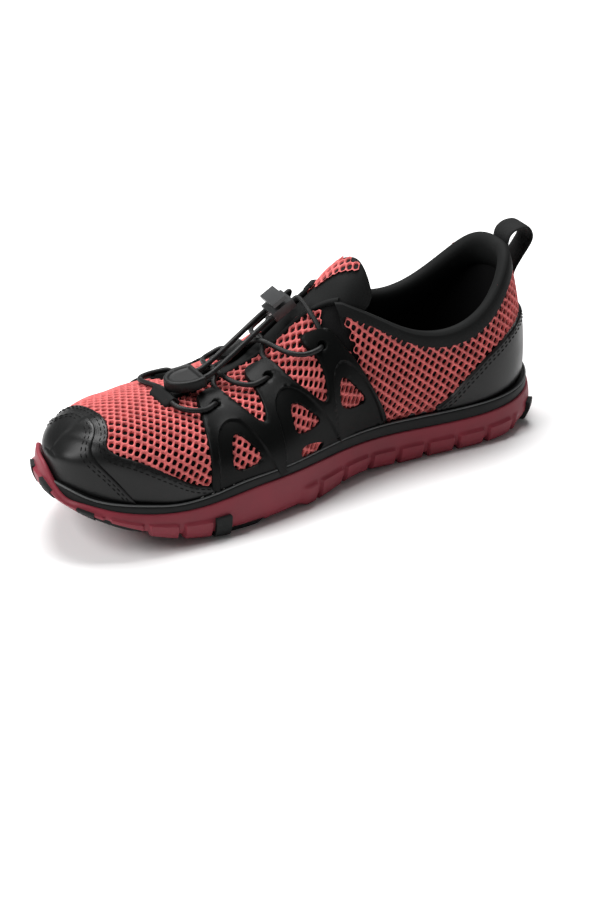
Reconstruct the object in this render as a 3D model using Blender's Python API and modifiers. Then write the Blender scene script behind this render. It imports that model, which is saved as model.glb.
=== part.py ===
"""Barefoot trail sneaker for the right foot, European size 40.

Frame: +X to the toe, +Y to the medial side, +Z up, the floor at z = 0.
Sizes are in millimetres and MM turns them into metres.
"along" runs from the back of the outsole to the toe. "offset" runs from the heel's axis to the medial side.
"up" runs over the skin of the last, from the lower edge of the upper to the ridge over the instep.
"""

import functools
import math

import bmesh
import bpy
import numpy as np
from mathutils import Matrix, Vector
from mathutils.geometry import delaunay_2d_cdt

MM = 0.001

# Driving sizes of the shoe
SOLE_LENGTH = 275.0
LOOP_REACH = 3.0
TOE_SPRING = 21.0
TREAD_LIFT = 4.0
SPRING_START = 185.0
HEEL_ROUND = 4.0
HEEL_ROUND_START = 45.0
ARCH_LIFT = 2.5
ARCH_AT = 115.0
ARCH_HALF = 30.0
AXIS_SHIFT = -6.7
GAP = 0.3
MEDIAL = 1
LATERAL = -1

# Stack of the sole above the toe spring's line, and the insets of its pieces from the outline
LUG_DEPTH = 2.2
LUG_BITE = 0.8
FLOOR_HEIGHT = 8.0
BULGE_HEIGHT = 6.0
SOLE_INSET = 3.5
RIM_OUTER = 0.8
RIM_INNER = 3.0
FLOOR_INSET = 3.3
MIDSOLE_OUTER = 3.7
MIDSOLE_INNER = 8.6
INSOLE_INSET = 9.4
INSOLE_THICK = 3.5

# Upper: its ends along the shoe, wall, tuck at the lower edge and how much of the toe spring the ridge follows
UPPER_HEEL = 5.0
UPPER_TOE = 269.5
WALL = 2.0
FEATHER_TUCK = 6.0
TUCK_FADE = 25.0
RIDGE_SPRING = 0.6

# Overlays stand on the upper by their own thickness
OVERLAY_LIFT = 0.6
COUNTER_LIFT = 0.8
EDGE_CLEAR = 1.8
CAP_THICK = 1.4
COUNTER_THICK = 1.6
ZIGZAG_THICK = 1.2
TONGUE_LIFT = -3.4
TONGUE_THICK = 3.0

# Lacing
CORD = 2.8
EYELET = 4.4
CORD_LIFT = OVERLAY_LIFT + ZIGZAG_THICK + GAP + CORD / 2

# Counts and lengths of facets
OUTLINE_STEPS = 36
STATIONS = 38
RIB_STEPS = 9
CAP_ROWS = 10
CAP_COLUMNS = 6
COUNTER_ROWS = 6
COUNTER_STEPS = 11
TONGUE_STEPS = 14
TONGUE_COLUMNS = 7
LUG_SPOTS = 3
EYELET_SIDES = 8
CLIP_SIDES = 10
PATCH_STEP = 8.0
CORD_STEP = 1.9
LOOP_STEP = 3.0
SHARP_ANGLE = math.radians(40)
WELD = 0.02
FINE_WELD = 0.001

# How far apart the skin is read for its slope, and how far from the last's tips the reading stays
SLOPE_REACH = 0.8
SLOPE_PART = 0.02
TIP_CLEAR = 2.5
BACK_STEP = 0.02

# Plan of the outsole: along, medial edge, lateral edge
OUTLINE = np.array(
    [
        (0, 0, 0),
        (12, 27, -28),
        (36, 36, -36.5),
        (75, 35.5, -36),
        (105, 37, -36),
        (130, 44, -39),
        (155, 53, -44),
        (180, 58, -46),
        (205, 59.3, -43.5),
        (230, 58, -35),
        (250, 53, -20.5),
        (266, 42.5, -5),
        (275, 20, 20),
    ]
)

# Top of the outsole's rim above the toe spring's line: along, height
RIM = np.array([(0, 16), (60, 15.5), (120, 15), (165, 10.5), (200, 9.5), (235, 10), (260, 14), (275, 18)])

# Lower edge of the upper above the toe spring's line: along, height
FEATHER = np.array([(5, 22), (60, 22), (110, 22.5), (150, 20.5), (185, 16), (215, 13.5), (245, 13), (269.5, 19.0)])

# Sections of the last: along, ridge height, widest height, inset at the widest, fullness medial, fullness lateral,
# ridge offset from the heel's axis
SECTION = np.array(
    [
        (5, 36, 30, 3.0, 2.2, 2.2, 0),
        (8, 62, 32, 3.0, 2.2, 2.2, 0),
        (14, 90, 34, 3.5, 2.2, 2.2, 0),
        (30, 106, 34, 4.0, 2.2, 2.2, 0),
        (65, 110, 34, 4.0, 2.1, 2.1, 1),
        (95, 102, 33, 3.5, 2.0, 2.0, 3),
        (115, 91, 32, 3.5, 1.9, 1.9, 6),
        (135, 77, 31, 3.5, 1.9, 1.85, 8),
        (150, 67, 31, 3.5, 1.9, 1.8, 10),
        (180, 57.5, 30, 4.0, 2.0, 1.8, 13),
        (210, 56.5, 30, 4.0, 2.2, 1.85, 17),
        (235, 55, 30, 4.0, 2.3, 1.95, 20),
        (252, 50, 30, 4.0, 2.4, 2.1, 21),
        (264, 41, 28, 4.0, 2.4, 2.2, 21),
        (269.5, 29, 25, 4.0, 2.3, 2.3, 20),
    ]
)

# Upper edges: the collar's height over the floor, and the throat's half width over the skin
COLLAR = np.array([(5, 92), (16, 92), (28, 81), (45, 68), (65, 64), (85, 70), (102, 80), (114, 86)])
THROAT = np.array([(114, 16), (125, 11.5), (150, 9), (185, 7.5), (200, 6), (206, 3.5), (208, 0)])

# Drain holes of the heel: along, offset, count and the step along to the next one of the slanting row
HEEL_HOLES = [
    (18, 11, 1, 0),
    (32, -1, 1, 0),
    (29, 17, 1, 0),
    (39, 10, 1, 0),
    (55, -9, 3, -5),
    (69, -12.5, 3, -6),
    (84, -14, 3, -8),
    (98, -15, 3, -9),
    (93, 10, 1, 0),
]
HEEL_HOLE_STEP = 13.0

# Drain holes of the forefoot, in rows across: along, first offset, pitch, count
FOREFOOT_HOLES = [
    (125, -16, 13, 3),
    (137, -13, 13.5, 3),
    (152, -22, 14, 4),
    (168, -29, 14.5, 5),
    (185, -21, 14.5, 4),
    (186, 43, 0, 1),
    (199, -26, 13.5, 3),
    (202, 28, 0, 1),
    (210, -20, 13, 2),
    (221, 15, 18, 2),
    (222, -13, 0, 1),
    (233, -5, 0, 1),
    (241, 16, 0, 1),
]
HOLE_HALF_LONG = 5.0
HOLE_HALF_WIDE = 4.4
HOLE_CORNER = 0.6
HOLE_PAST = 3.0

# Lugs round the edge: side, first along, last along, pitch, width
LUGS = [
    (MEDIAL, 24, 142, 17, 11),
    (LATERAL, 60, 262, 17, 12),
]
LUG_GROOVE = 3.0
LUG_INSET = 3.9

# Branches of the black tread, as strokes of one width: width, then along and offset of each point
FOREFOOT_TREAD = [
    (7.0, [(150, 30), (166, 41), (182, 52), (200, 58)]),
    (9.0, [(166, 41), (181, 32), (195, 23), (211, 8)]),
    (5.0, [(170, 24), (181, 31)]),
    (5.0, [(186, 15), (195, 21)]),
    (7.2, [(211, 7), (240, 7), (266, 7)]),
    (6.8, [(203, 17), (226, 24), (264, 30)]),
    (6.8, [(182, 36), (208, 44), (252, 49)]),
]
HEEL_TREAD = [
    (7.5, [(6, 4), (13, 1), (21, -6), (30, -14), (42, -18), (54, -22)]),
    (5.0, [(13, 1), (6, 8), (8, 15), (14, 21)]),
    (4.6, [(15, -2), (9, -12), (6, -20)]),
    (4.6, [(17, -1), (25, 8)]),
    (5.0, [(29, -15), (21, -24), (17, -32)]),
    (4.6, [(36, -12), (44, -2)]),
    (6.0, [(54, -22), (47, -30), (43, -34)]),
]

# Toe cap's back edge: fraction of the rib from the lower edge to the ridge, along
CAP_EDGE = np.array([(0, 237), (0.23, 246), (0.42, 253), (0.55, 252), (0.68, 248), (0.8, 244.5), (1, 244)])

# Heel counter's upper edge: along, height over the floor
COUNTER_EDGE = np.array([(5, 60), (12, 59), (25, 54), (40, 46), (52, 38), (60, 30)])

# Tongue's half width over the skin: along, half width
TONGUE = np.array([(104, 27), (116, 29), (150, 24), (190, 19), (213, 15)])

# Outline of the zigzag overlay with its three eyelet tabs: along, up
ZIGZAG = [
    (202, 3),
    (201, 29),
    (197, 44),
    (197, 56),
    (191, 61),
    (181, 61),
    (173, 47),
    (167, 31),
    (166, 46),
    (167, 56),
    (161, 61),
    (151, 61),
    (143, 47),
    (137, 31),
    (135, 46),
    (136, 56),
    (130, 61),
    (121, 61),
    (112, 48),
    (97, 8),
    (97, 3),
]
# Mesh windows between the legs of each tab: along, up
ZIGZAG_WINDOWS = [
    [(189, 14), (187, 30), (183, 30), (173, 12)],
    [(155, 14), (154, 30), (150, 29), (138, 13)],
    [(125, 14), (123, 31), (119, 29), (109, 12)],
]
EYELETS = [(186, 51), (156, 51), (126, 51)]

# Lace over the skin: side, along, up, lift over the cord's own seat. The ridge is at up = RIDGE
RIDGE = 999.0
LACE_BAR = [
    (MEDIAL, 187, 50, 0),
    (MEDIAL, 195, 47.5, 0.4),
    (MEDIAL, 204, 52, 0),
    (MEDIAL, 210, 62, 0),
    (MEDIAL, 211, RIDGE, 0),
    (LATERAL, 210, 62, 0),
    (LATERAL, 204, 52, 0),
    (LATERAL, 195, 47.5, 0.4),
    (LATERAL, 187, 50, 0),
]
# Crossing of two cords: side of the tab it starts from is 1, the other one -1; then steps back, up and lift
LACE_CROSS = [(1, 0, 60, 0), (-1, 4, RIDGE, 0.6), (-1, 14, 55, 0.6), (-1, 23, 49, 0.6), (-1, 29, 50, 0)]
LACE_CROSS_STARTS = (183, 153)
# Cord from the upper tab to the lock: along, up, lift
LACE_RISE = [(122, 60, 0), (127, 68, 2.5)]
LACE_LEAD = 5.0
LACE_SAG = 0.6

# Cord lock: where it stands over the ridge, its slope and its blocks
LOCK_ALONG = 134.0
LOCK_ASIDE = 6.0
LOCK_LIFT = 8.0
LOCK_SLOPE = math.radians(30)
LOCK_BODY = (12.5, 12.0, 5.0)
LOCK_PLATE = (8.0, 13.0, 2.2)
LOCK_STEM = (4.6, 4.6, 4.6)
LOCK_BITE = 1.0
LOCK_POCKET_PLAY = 0.5
LOCK_TRAVEL = 2.0
LOCK_REST_GAP = LOCK_TRAVEL + 0.4
LOCK_POCKET_DEPTH = LOCK_TRAVEL + 2.0
LOCK_CORD_SPREAD = 4.0

# Clip on the lace's ends: a D with its straight edge to the lock
CLIP_ALONG = 199.0
CLIP_LENGTH = 18.0
CLIP_WIDTH = 19.0
CLIP_THICK = 5.5
CLIP_LIFT = 4.4
CLIP_STRAIGHT = 5.5
CLIP_SLOPE = math.radians(4)

# Pull loop: path of the webbing behind the heel, along and height, and its width and thickness
LOOP_PATH = [
    (6.9, 66),
    (8.6, 74),
    (5, 81),
    (0.5, 87),
    (-2.2, 92.5),
    (-0.5, 97),
    (5, 98.5),
    (11, 95.5),
    (12.4, 90),
]
LOOP_WIDTH = 14.0
LOOP_THICK = 1.6


class Spline:
    """Natural cubic spline through one column of a table."""

    def __init__(self, knots, values):
        self.knots = np.asarray(knots, float)
        self.values = np.asarray(values, float)
        steps = np.diff(self.knots)
        count = len(self.knots)
        matrix = np.eye(count)
        right = np.zeros(count)
        for i in range(1, count - 1):
            matrix[i, i - 1 : i + 2] = steps[i - 1], 2 * (steps[i - 1] + steps[i]), steps[i]
            slopes = np.diff(self.values[i - 1 : i + 2]) / steps[i - 1 : i + 1]
            right[i] = 6 * (slopes[1] - slopes[0])
        self.bends = np.linalg.solve(matrix, right)
        self.steps = steps

    def __call__(self, at):
        i = int(np.clip(np.searchsorted(self.knots, at) - 1, 0, len(self.steps) - 1))
        step = self.steps[i]
        after = at - self.knots[i]
        before = self.knots[i + 1] - at
        curve = (self.bends[i] * before**3 + self.bends[i + 1] * after**3) / (6 * step)
        low = (self.values[i] / step - self.bends[i] * step / 6) * before
        high = (self.values[i + 1] / step - self.bends[i + 1] * step / 6) * after
        return float(curve + low + high)


def round_ends(along, start, length):
    """Evens out a curve with round ends: 0 at the heel, 1 at the toe."""
    return math.acos(min(1.0, max(-1.0, 1 - 2 * (along - start) / length))) / math.pi


def station(fraction, start, length):
    """Place along the shoe of an even fraction, close set at both ends."""
    return start + length * (1 - math.cos(math.pi * fraction)) / 2


OUTLINE_KNOTS = [round_ends(row[0], 0, SOLE_LENGTH) for row in OUTLINE]
OUTLINE_SPLINES = {
    MEDIAL: Spline(OUTLINE_KNOTS, OUTLINE[:, 1]),
    LATERAL: Spline(OUTLINE_KNOTS, OUTLINE[:, 2]),
}
UPPER_LENGTH = UPPER_TOE - UPPER_HEEL
SECTION_KNOTS = [round_ends(row[0], UPPER_HEEL, UPPER_LENGTH) for row in SECTION]
SECTION_SPLINES = [Spline(SECTION_KNOTS, SECTION[:, column]) for column in range(1, 7)]
FEATHER_SPLINE = Spline(FEATHER[:, 0], FEATHER[:, 1])
RIM_SPLINE = Spline(RIM[:, 0], RIM[:, 1])


def edge(along, side):
    """Offset of the outsole's edge."""
    return OUTLINE_SPLINES[side](round_ends(along, 0, SOLE_LENGTH))


def spring(along):
    """Toe spring and the rounding of the heel."""
    toe = max(0.0, (along - SPRING_START) / (SOLE_LENGTH - SPRING_START))
    heel = max(0.0, (HEEL_ROUND_START - along) / HEEL_ROUND_START)
    return TOE_SPRING * toe**2 + HEEL_ROUND * heel**2


def tread_spring(along):
    """Spring of the underside, which rises a little more at the toe than the upper does."""
    toe = max(0.0, (along - SPRING_START) / (SOLE_LENGTH - SPRING_START))
    return spring(along) + TREAD_LIFT * toe**2


def tread_line(along):
    """Underside of the tread: its spring, lifted under the arch."""
    arch = max(0.0, 1 - abs(along - ARCH_AT) / ARCH_HALF)
    return tread_spring(along) + ARCH_LIFT * math.sin(arch * math.pi / 2) ** 2


def place(along, offset, height):
    """Point of the shoe in the part's frame, in metres."""
    centre = (SOLE_LENGTH - LOOP_REACH) / 2
    return Vector(((along - centre) * MM, (offset + AXIS_SHIFT) * MM, height * MM))


@functools.lru_cache(maxsize=None)
def rib(along, side):
    """Rib of the last at one place along: offsets, heights and the distance over the skin."""
    values = [column(round_ends(along, UPPER_HEEL, UPPER_LENGTH)) for column in SECTION_SPLINES]
    ridge, widest, inset, medial_full, lateral_full, ridge_offset = values
    foot = FEATHER_SPLINE(along) + spring(along)
    widest = max(widest + spring(along), foot + 0.5)
    ridge = max(ridge + RIDGE_SPRING * spring(along), widest + 0.5)
    power = 2 / (medial_full if side == MEDIAL else lateral_full)
    outline_along = (along - UPPER_HEEL) / UPPER_LENGTH * SOLE_LENGTH
    half = side * (edge(outline_along, side) - ridge_offset)
    fade = min(1.0, half / TUCK_FADE)
    half_widest = max(half - inset * fade, 0.0)
    half_foot = max(half - FEATHER_TUCK * fade, 0.0)
    low = np.linspace(0, math.pi / 2, 20)
    high = np.linspace(0, math.pi / 2, 60)[1:]
    across = np.concatenate(
        [
            half_foot + (half_widest - half_foot) * np.sin(low),
            half_widest * np.cos(high).clip(0) ** power,
        ]
    )
    heights = np.concatenate(
        [
            foot + (widest - foot) * (1 - np.cos(low)),
            widest + (ridge - widest) * np.sin(high) ** power,
        ]
    )
    skin = np.concatenate([[0], np.cumsum(np.hypot(np.diff(across), np.diff(heights)))])
    return ridge_offset + side * across, heights, skin


def girth(along, side):
    """Skin length of a rib from the lower edge to the ridge."""
    return rib(along, side)[2][-1]


def rib_point(along, side, up):
    """Point on the last, in millimetres: along, offset, height."""
    offsets, heights, skin = rib(along, side)
    return np.array([along, np.interp(up, skin, offsets), np.interp(up, skin, heights)])


def on_last(along, side, up, lift=0.0):
    """Point of the part's frame that stands off the last by lift."""
    up = min(max(up, 0.0), girth(along, side))
    part = up / girth(along, side)
    inner = min(max(along, UPPER_HEEL + TIP_CLEAR), UPPER_TOE - TIP_CLEAR)

    def read(at, fraction):
        return rib_point(at, side, min(max(fraction, 0.0), 1.0) * girth(at, side))

    forward = read(inner + SLOPE_REACH, part) - read(inner - SLOPE_REACH, part)
    upward = read(inner, part + SLOPE_PART) - read(inner, part - SLOPE_PART)
    normal = np.cross(upward, forward) * side
    normal = normal / np.linalg.norm(normal)
    if part == 1.0:
        normal[1] = 0.0
    normal[0] += along - inner
    normal = normal / np.linalg.norm(normal)
    return place(*(rib_point(along, side, up) + normal * lift))


def up_at_height(along, side, height):
    """Skin distance at which a rib reaches a height over the floor."""
    offsets, heights, skin = rib(along, side)
    return float(np.interp(height, heights, skin))


def upper_edge(along, side):
    """Skin distance at which the upper ends: the collar behind, the throat in front, else the ridge."""
    if along <= COLLAR[-1, 0]:
        return up_at_height(along, side, np.interp(along, COLLAR[:, 0], COLLAR[:, 1]))
    return girth(along, side) - np.interp(along, THROAT[:, 0], THROAT[:, 1])


def outline_ring(inset, steps=OUTLINE_STEPS):
    """Closed ring inside the outsole's edge: along, offset. It starts at the heel and runs by the medial side."""
    places = [station(i / steps, 0, SOLE_LENGTH) for i in range(steps + 1)]
    ring = [(a, edge(a, MEDIAL)) for a in places]
    ring += [(a, edge(a, LATERAL)) for a in reversed(places[1:-1])]
    ring = np.array(ring)
    tangent = np.roll(ring, -1, axis=0) - np.roll(ring, 1, axis=0)
    tangent = tangent / np.linalg.norm(tangent, axis=1)[:, None]
    return ring + inset * np.stack([tangent[:, 1], -tangent[:, 0]], axis=1)


# Scene, collections and materials
for old in list(bpy.data.objects):
    bpy.data.objects.remove(old, do_unlink=True)

shoe = bpy.data.collections.new("barefoot_sneaker")
cutters = bpy.data.collections.new("cutters")
bpy.context.scene.collection.children.link(shoe)
bpy.context.scene.collection.children.link(cutters)
stand = bpy.data.objects.new("stand", None)
shoe.objects.link(stand)


def finish(name, colour, roughness):
    """Plain finish of one kind of material."""
    material = bpy.data.materials.new(name)
    material.use_nodes = True
    shader = material.node_tree.nodes["Principled BSDF"]
    shader.inputs["Base Color"].default_value = (*colour, 1)
    shader.inputs["Roughness"].default_value = roughness
    return material


RED_RUBBER = finish("red_rubber", (0.42, 0.09, 0.11), 0.6)
BLACK_RUBBER = finish("black_rubber", (0.03, 0.033, 0.033), 0.6)
BLACK_FOAM = finish("black_foam", (0.03, 0.03, 0.03), 0.7)
PALE_BOARD = finish("pale_board", (0.62, 0.6, 0.57), 0.8)
CORAL_MESH = finish("coral_mesh", (0.8, 0.2, 0.2), 0.8)
BLACK_LEATHER = finish("black_leather", (0.022, 0.024, 0.024), 0.45)
BLACK_MOULDED = finish("black_moulded", (0.025, 0.03, 0.03), 0.45)
BLACK_CLOTH = finish("black_cloth", (0.02, 0.02, 0.02), 0.85)
BLACK_CORD = finish("black_cord", (0.03, 0.03, 0.03), 0.7)
GREY_PLASTIC = finish("grey_plastic", (0.09, 0.09, 0.09), 0.4)


def add_object(name, mesh, material, smooth=True):
    """Links a mesh as one named piece of the shoe."""
    piece = bpy.data.objects.new(name, mesh)
    mesh.materials.append(material)
    if smooth:
        mesh.shade_smooth()
        mesh.set_sharp_from_angle(angle=SHARP_ANGLE)
    shoe.objects.link(piece)
    piece.parent = stand
    return piece


def mesh_from(name, points, faces, weld=WELD):
    """Mesh of points and faces with doubled points welded and its faces turned outward."""
    form = bmesh.new()
    corners = [form.verts.new(point) for point in points]
    for face in faces:
        loop = list(dict.fromkeys(face))
        if len(loop) > 2:
            form.faces.new([corners[i] for i in loop])
    bmesh.ops.remove_doubles(form, verts=form.verts, dist=weld * MM)
    bmesh.ops.dissolve_degenerate(form, edges=form.edges, dist=FINE_WELD * MM)
    bmesh.ops.recalc_face_normals(form, faces=form.faces)
    mesh = bpy.data.meshes.new(name)
    form.to_mesh(mesh)
    form.free()
    return mesh


def grid_faces(rows, columns, closed=False):
    """Quads of a grid of points that is stored row by row."""
    wrap = columns if closed else columns - 1
    faces = []
    for i in range(rows - 1):
        for j in range(wrap):
            k = (j + 1) % columns
            faces.append((i * columns + j, i * columns + k, (i + 1) * columns + k, (i + 1) * columns + j))
    return faces


def ring_strips(start, steps):
    """Quads across a closed outline ring, from its medial to its lateral half, heel to toe."""
    count = 2 * steps
    faces = []
    for i in range(steps):
        medial = (start + i, start + i + 1)
        lateral = (start + (count - i) % count, start + (count - i - 1) % count)
        faces.append((medial[0], medial[1], lateral[1], lateral[0]))
    return faces


def lofted_ring(name, levels, capped):
    """Solid through closed outline rings. A level is an inset and a height function."""
    points = []
    for inset, height in levels:
        points += [place(a, o, height(a)) for a, o in outline_ring(inset)]
    count = 2 * OUTLINE_STEPS
    faces = grid_faces(len(levels), count, closed=True)
    if capped:
        faces += ring_strips(0, OUTLINE_STEPS)
        faces += ring_strips(count * (len(levels) - 1), OUTLINE_STEPS)
    else:
        last = count * (len(levels) - 1)
        faces += [(last + j, last + (j + 1) % count, (j + 1) % count, j) for j in range(count)]
    return mesh_from(name, points, faces)


def skin_shell(name, points, faces, thickness, material, outward):
    """Open surface on the last, given its wall by Solidify on the outer or the inner side."""
    mesh = mesh_from(name, points, faces)
    form = bmesh.new()
    form.from_mesh(mesh)
    middle = place(SOLE_LENGTH / 2, 0, FEATHER[0, 1])
    inward = sum((f.normal.dot(f.calc_center_median() - middle) < 0) * f.calc_area() for f in form.faces)
    if inward > sum(f.calc_area() for f in form.faces) / 2:
        bmesh.ops.reverse_faces(form, faces=form.faces)
    form.to_mesh(mesh)
    form.free()
    piece = add_object(name, mesh, material)
    wall = piece.modifiers.new("wall", "SOLIDIFY")
    wall.thickness = thickness * MM
    wall.offset = 1.0 if outward else -1.0
    return piece


def prism(points, low, high):
    """Closed prism on a plan outline, between two height functions."""
    count = len(points)
    corners = [place(a, o, low(a)) for a, o in points] + [place(a, o, high(a)) for a, o in points]
    faces = [tuple(range(count)), tuple(range(count, 2 * count))]
    faces += [(j, (j + 1) % count, count + (j + 1) % count, count + j) for j in range(count)]
    return corners, faces


def join_prisms(name, prisms):
    """One mesh of several separate prisms."""
    points = []
    faces = []
    for corners, sides in prisms:
        start = len(points)
        points += corners
        faces += [tuple(start + i for i in side) for side in sides]
    return mesh_from(name, points, faces, weld=FINE_WELD)


def boolean(piece, name, mesh, operation):
    """Cuts or joins a piece with a hidden form."""
    form = bpy.data.objects.new(name, mesh)
    form.hide_render = True
    form.display_type = "WIRE"
    cutters.objects.link(form)
    step = piece.modifiers.new(name, "BOOLEAN")
    step.operation = operation
    step.object = form
    return form


def inside(point, outline):
    """Whether a plan point lies inside a closed outline."""
    x, y = point
    found = False
    for (x0, y0), (x1, y1) in zip(outline, outline[1:] + outline[:1]):
        if (y0 > y) != (y1 > y) and x < x0 + (y - y0) * (x1 - x0) / (y1 - y0):
            found = not found
    return found


def flat_patch(outlines, holes, step, limit=None):
    """Flat triangulated patch: the outlines joined, less the holes and what passes the limit outline."""
    limits = [limit] if limit else []
    corners = []
    edges = []
    for loop in outlines + holes + limits:
        start = len(corners)
        dense = []
        for (x0, y0), (x1, y1) in zip(loop, loop[1:] + loop[:1]):
            parts = max(1, round(math.hypot(x1 - x0, y1 - y0) / step))
            dense += [(x0 + (x1 - x0) * k / parts, y0 + (y1 - y0) * k / parts) for k in range(parts)]
        corners += dense
        edges += [(start + k, start + (k + 1) % len(dense)) for k in range(len(dense))]

    def covered(point):
        in_patch = any(inside(point, loop) for loop in outlines) and all(inside(point, loop) for loop in limits)
        return in_patch and not any(inside(point, loop) for loop in holes)

    xs = [x for x, y in corners]
    ys = [y for x, y in corners]
    border = list(corners)
    for i in range(int((max(xs) - min(xs)) / step)):
        for j in range(int((max(ys) - min(ys)) / step)):
            point = (min(xs) + (i + 0.5) * step, min(ys) + (j + 0.5 + 0.5 * (i % 2)) * step)
            clear = min(math.hypot(point[0] - x, point[1] - y) for x, y in border)
            if covered(point) and clear > step / 3:
                corners.append(point)
    result = delaunay_2d_cdt([Vector(c) for c in corners], edges, [], 0, 1e-4)
    flat = [(v.x, v.y) for v in result[0]]
    faces = [f for f in result[2] if covered(tuple(np.mean([flat[i] for i in f], axis=0)))]
    used = sorted({i for f in faces for i in f})
    index = {old: new for new, old in enumerate(used)}
    return [flat[i] for i in used], [tuple(index[i] for i in f) for f in faces]


def regular(centre, radius, sides):
    """Points of a regular polygon."""
    angles = [2 * math.pi * k / sides for k in range(sides)]
    return [(centre[0] + radius * math.cos(t), centre[1] + radius * math.sin(t)) for t in angles]


def stroke(points, width, sides=6):
    """Outline of a stroke with round ends along a few points."""
    spots = [Vector(p) for p in points]
    left = []
    right = []
    for i, spot in enumerate(spots):
        ahead = (spots[min(i + 1, len(spots) - 1)] - spots[max(i - 1, 0)]).normalized()
        across = Vector((-ahead.y, ahead.x)) * width / 2
        left.append(tuple(spot + across))
        right.append(tuple(spot - across))

    def cap(centre, toward):
        start = math.atan2(toward.y, toward.x) + math.pi / 2
        turns = [start - math.pi * k / sides for k in range(1, sides)]
        return [(centre.x + math.cos(t) * width / 2, centre.y + math.sin(t) * width / 2) for t in turns]

    end = cap(spots[-1], spots[-1] - spots[-2])
    beginning = cap(spots[0], spots[0] - spots[1])
    return left + end + right[::-1] + beginning


def smooth_route(points, step):
    """Points read from a smooth curve through a route, a step apart."""
    spots = np.array([tuple(p) for p in points])
    lengths = np.concatenate([[0], np.cumsum(np.linalg.norm(np.diff(spots, axis=0), axis=1))])
    curves = [Spline(lengths, spots[:, axis]) for axis in range(3)]
    count = max(2, round(lengths[-1] / (step * MM)))
    return [Vector([curve(lengths[-1] * k / count) for curve in curves]) for k in range(count + 1)]


def tube(name, points, diameter, material):
    """Round cord on a smooth curve through its points, as a closed mesh."""
    route = smooth_route(points, diameter * CORD_STEP)
    data = bpy.data.curves.new(name, "CURVE")
    data.dimensions = "3D"
    data.bevel_depth = diameter / 2 * MM
    data.bevel_resolution = 2
    data.use_fill_caps = True
    line = data.splines.new("POLY")
    line.points.add(len(route) - 1)
    for point, spot in zip(line.points, route):
        point.co = (*spot, 1)
    data.materials.append(material)
    piece = bpy.data.objects.new(name, data)
    shoe.objects.link(piece)
    piece.parent = stand
    return piece


def as_mesh(curve_object):
    """Mesh of a curve with its caps welded, in place of the curve."""
    bpy.context.view_layer.update()
    seen = curve_object.evaluated_get(bpy.context.evaluated_depsgraph_get())
    mesh = bpy.data.meshes.new_from_object(seen)
    mesh.transform(curve_object.matrix_world)
    form = bmesh.new()
    form.from_mesh(mesh)
    bmesh.ops.remove_doubles(form, verts=form.verts, dist=FINE_WELD * MM)
    bmesh.ops.recalc_face_normals(form, faces=form.faces)
    form.to_mesh(mesh)
    form.free()
    bpy.data.objects.remove(curve_object)
    return mesh


# Outsole: a rubber cup with a raised rim, side lugs and drain holes
def sole_under(along):
    return tread_line(along) + LUG_DEPTH


def sole_bulge(along):
    return tread_spring(along) + BULGE_HEIGHT


def rim_top(along):
    return spring(along) + RIM_SPLINE(along)


def sole_floor(along):
    return spring(along) + FLOOR_HEIGHT


outsole_levels = [
    (SOLE_INSET, sole_under),
    (0.0, sole_bulge),
    (RIM_OUTER, rim_top),
    (RIM_INNER, rim_top),
    (FLOOR_INSET, sole_floor),
]
outsole = add_object("outsole", lofted_ring("outsole", outsole_levels, True), RED_RUBBER)


def lug_outline(side, first, last, width):
    """Plan outline of one edge lug between two places along."""
    outer = outline_ring(LUG_INSET, 2 * OUTLINE_STEPS)
    inner = outline_ring(LUG_INSET + width, 2 * OUTLINE_STEPS)
    half = slice(0, 2 * OUTLINE_STEPS + 1) if side == MEDIAL else slice(2 * OUTLINE_STEPS, None)
    order = 1 if side == MEDIAL else -1
    spots = np.linspace(first, last, LUG_SPOTS)

    def read(ring):
        rows = ring[half][::order]
        return [(a, float(np.interp(a, rows[:, 0], rows[:, 1]))) for a in spots]

    return read(outer) + read(inner)[::-1]


lugs = []
for side, first, last, pitch, width in LUGS:
    for i in range(int((last - first) / pitch)):
        start = first + i * pitch
        outline = lug_outline(side, start, start + pitch - LUG_GROOVE, width)
        lugs.append(prism(outline, tread_line, lambda a: tread_line(a) + LUG_DEPTH + LUG_BITE))
boolean(outsole, "side_lugs", join_prisms("side_lugs", lugs), "UNION")


def hole_outline(along, offset):
    """Diamond with blunt corners."""
    long, wide = HOLE_HALF_LONG, HOLE_HALF_WIDE
    blunt = HOLE_CORNER
    corners = [(long, blunt), (blunt, wide), (-blunt, wide), (-long, blunt)]
    corners += [(-long, -blunt), (-blunt, -wide), (blunt, -wide), (long, -blunt)]
    return [(along + a, offset + o) for a, o in corners]


hole_spots = []
for along, offset, count, step in HEEL_HOLES:
    hole_spots += [(along + k * step, offset + k * HEEL_HOLE_STEP) for k in range(count)]
for along, offset, pitch, count in FOREFOOT_HOLES:
    hole_spots += [(along, offset + k * pitch) for k in range(count)]
holes = []
for along, offset in hole_spots:
    outline = hole_outline(along, offset)
    holes.append(prism(outline, lambda a: tread_line(a) - HOLE_PAST, lambda a: sole_floor(a) + HOLE_PAST))
boolean(outsole, "drain_holes", join_prisms("drain_holes", holes), "DIFFERENCE")


# Black tread: branches of harder rubber on the underside
def add_tread(name, strokes):
    outlines = [stroke(points, width) for width, points in strokes]
    sole_edge = [(float(a), float(o)) for a, o in outline_ring(LUG_INSET)]
    flat, faces = flat_patch(outlines, [], PATCH_STEP, sole_edge)
    count = len(flat)
    points = [place(a, o, tread_line(a)) for a, o in flat]
    points += [place(a, o, tread_line(a) + LUG_DEPTH - GAP) for a, o in flat]
    uses = {}
    for face in faces:
        for pair in zip(face, face[1:] + face[:1]):
            uses.setdefault(frozenset(pair), []).append(pair)
    solid = list(faces) + [tuple(count + i for i in face[::-1]) for face in faces]
    for pairs in uses.values():
        if len(pairs) == 1:
            i, j = pairs[0]
            solid.append((j, i, count + i, count + j))
    add_object(name, mesh_from(name, points, solid), BLACK_RUBBER)


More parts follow.
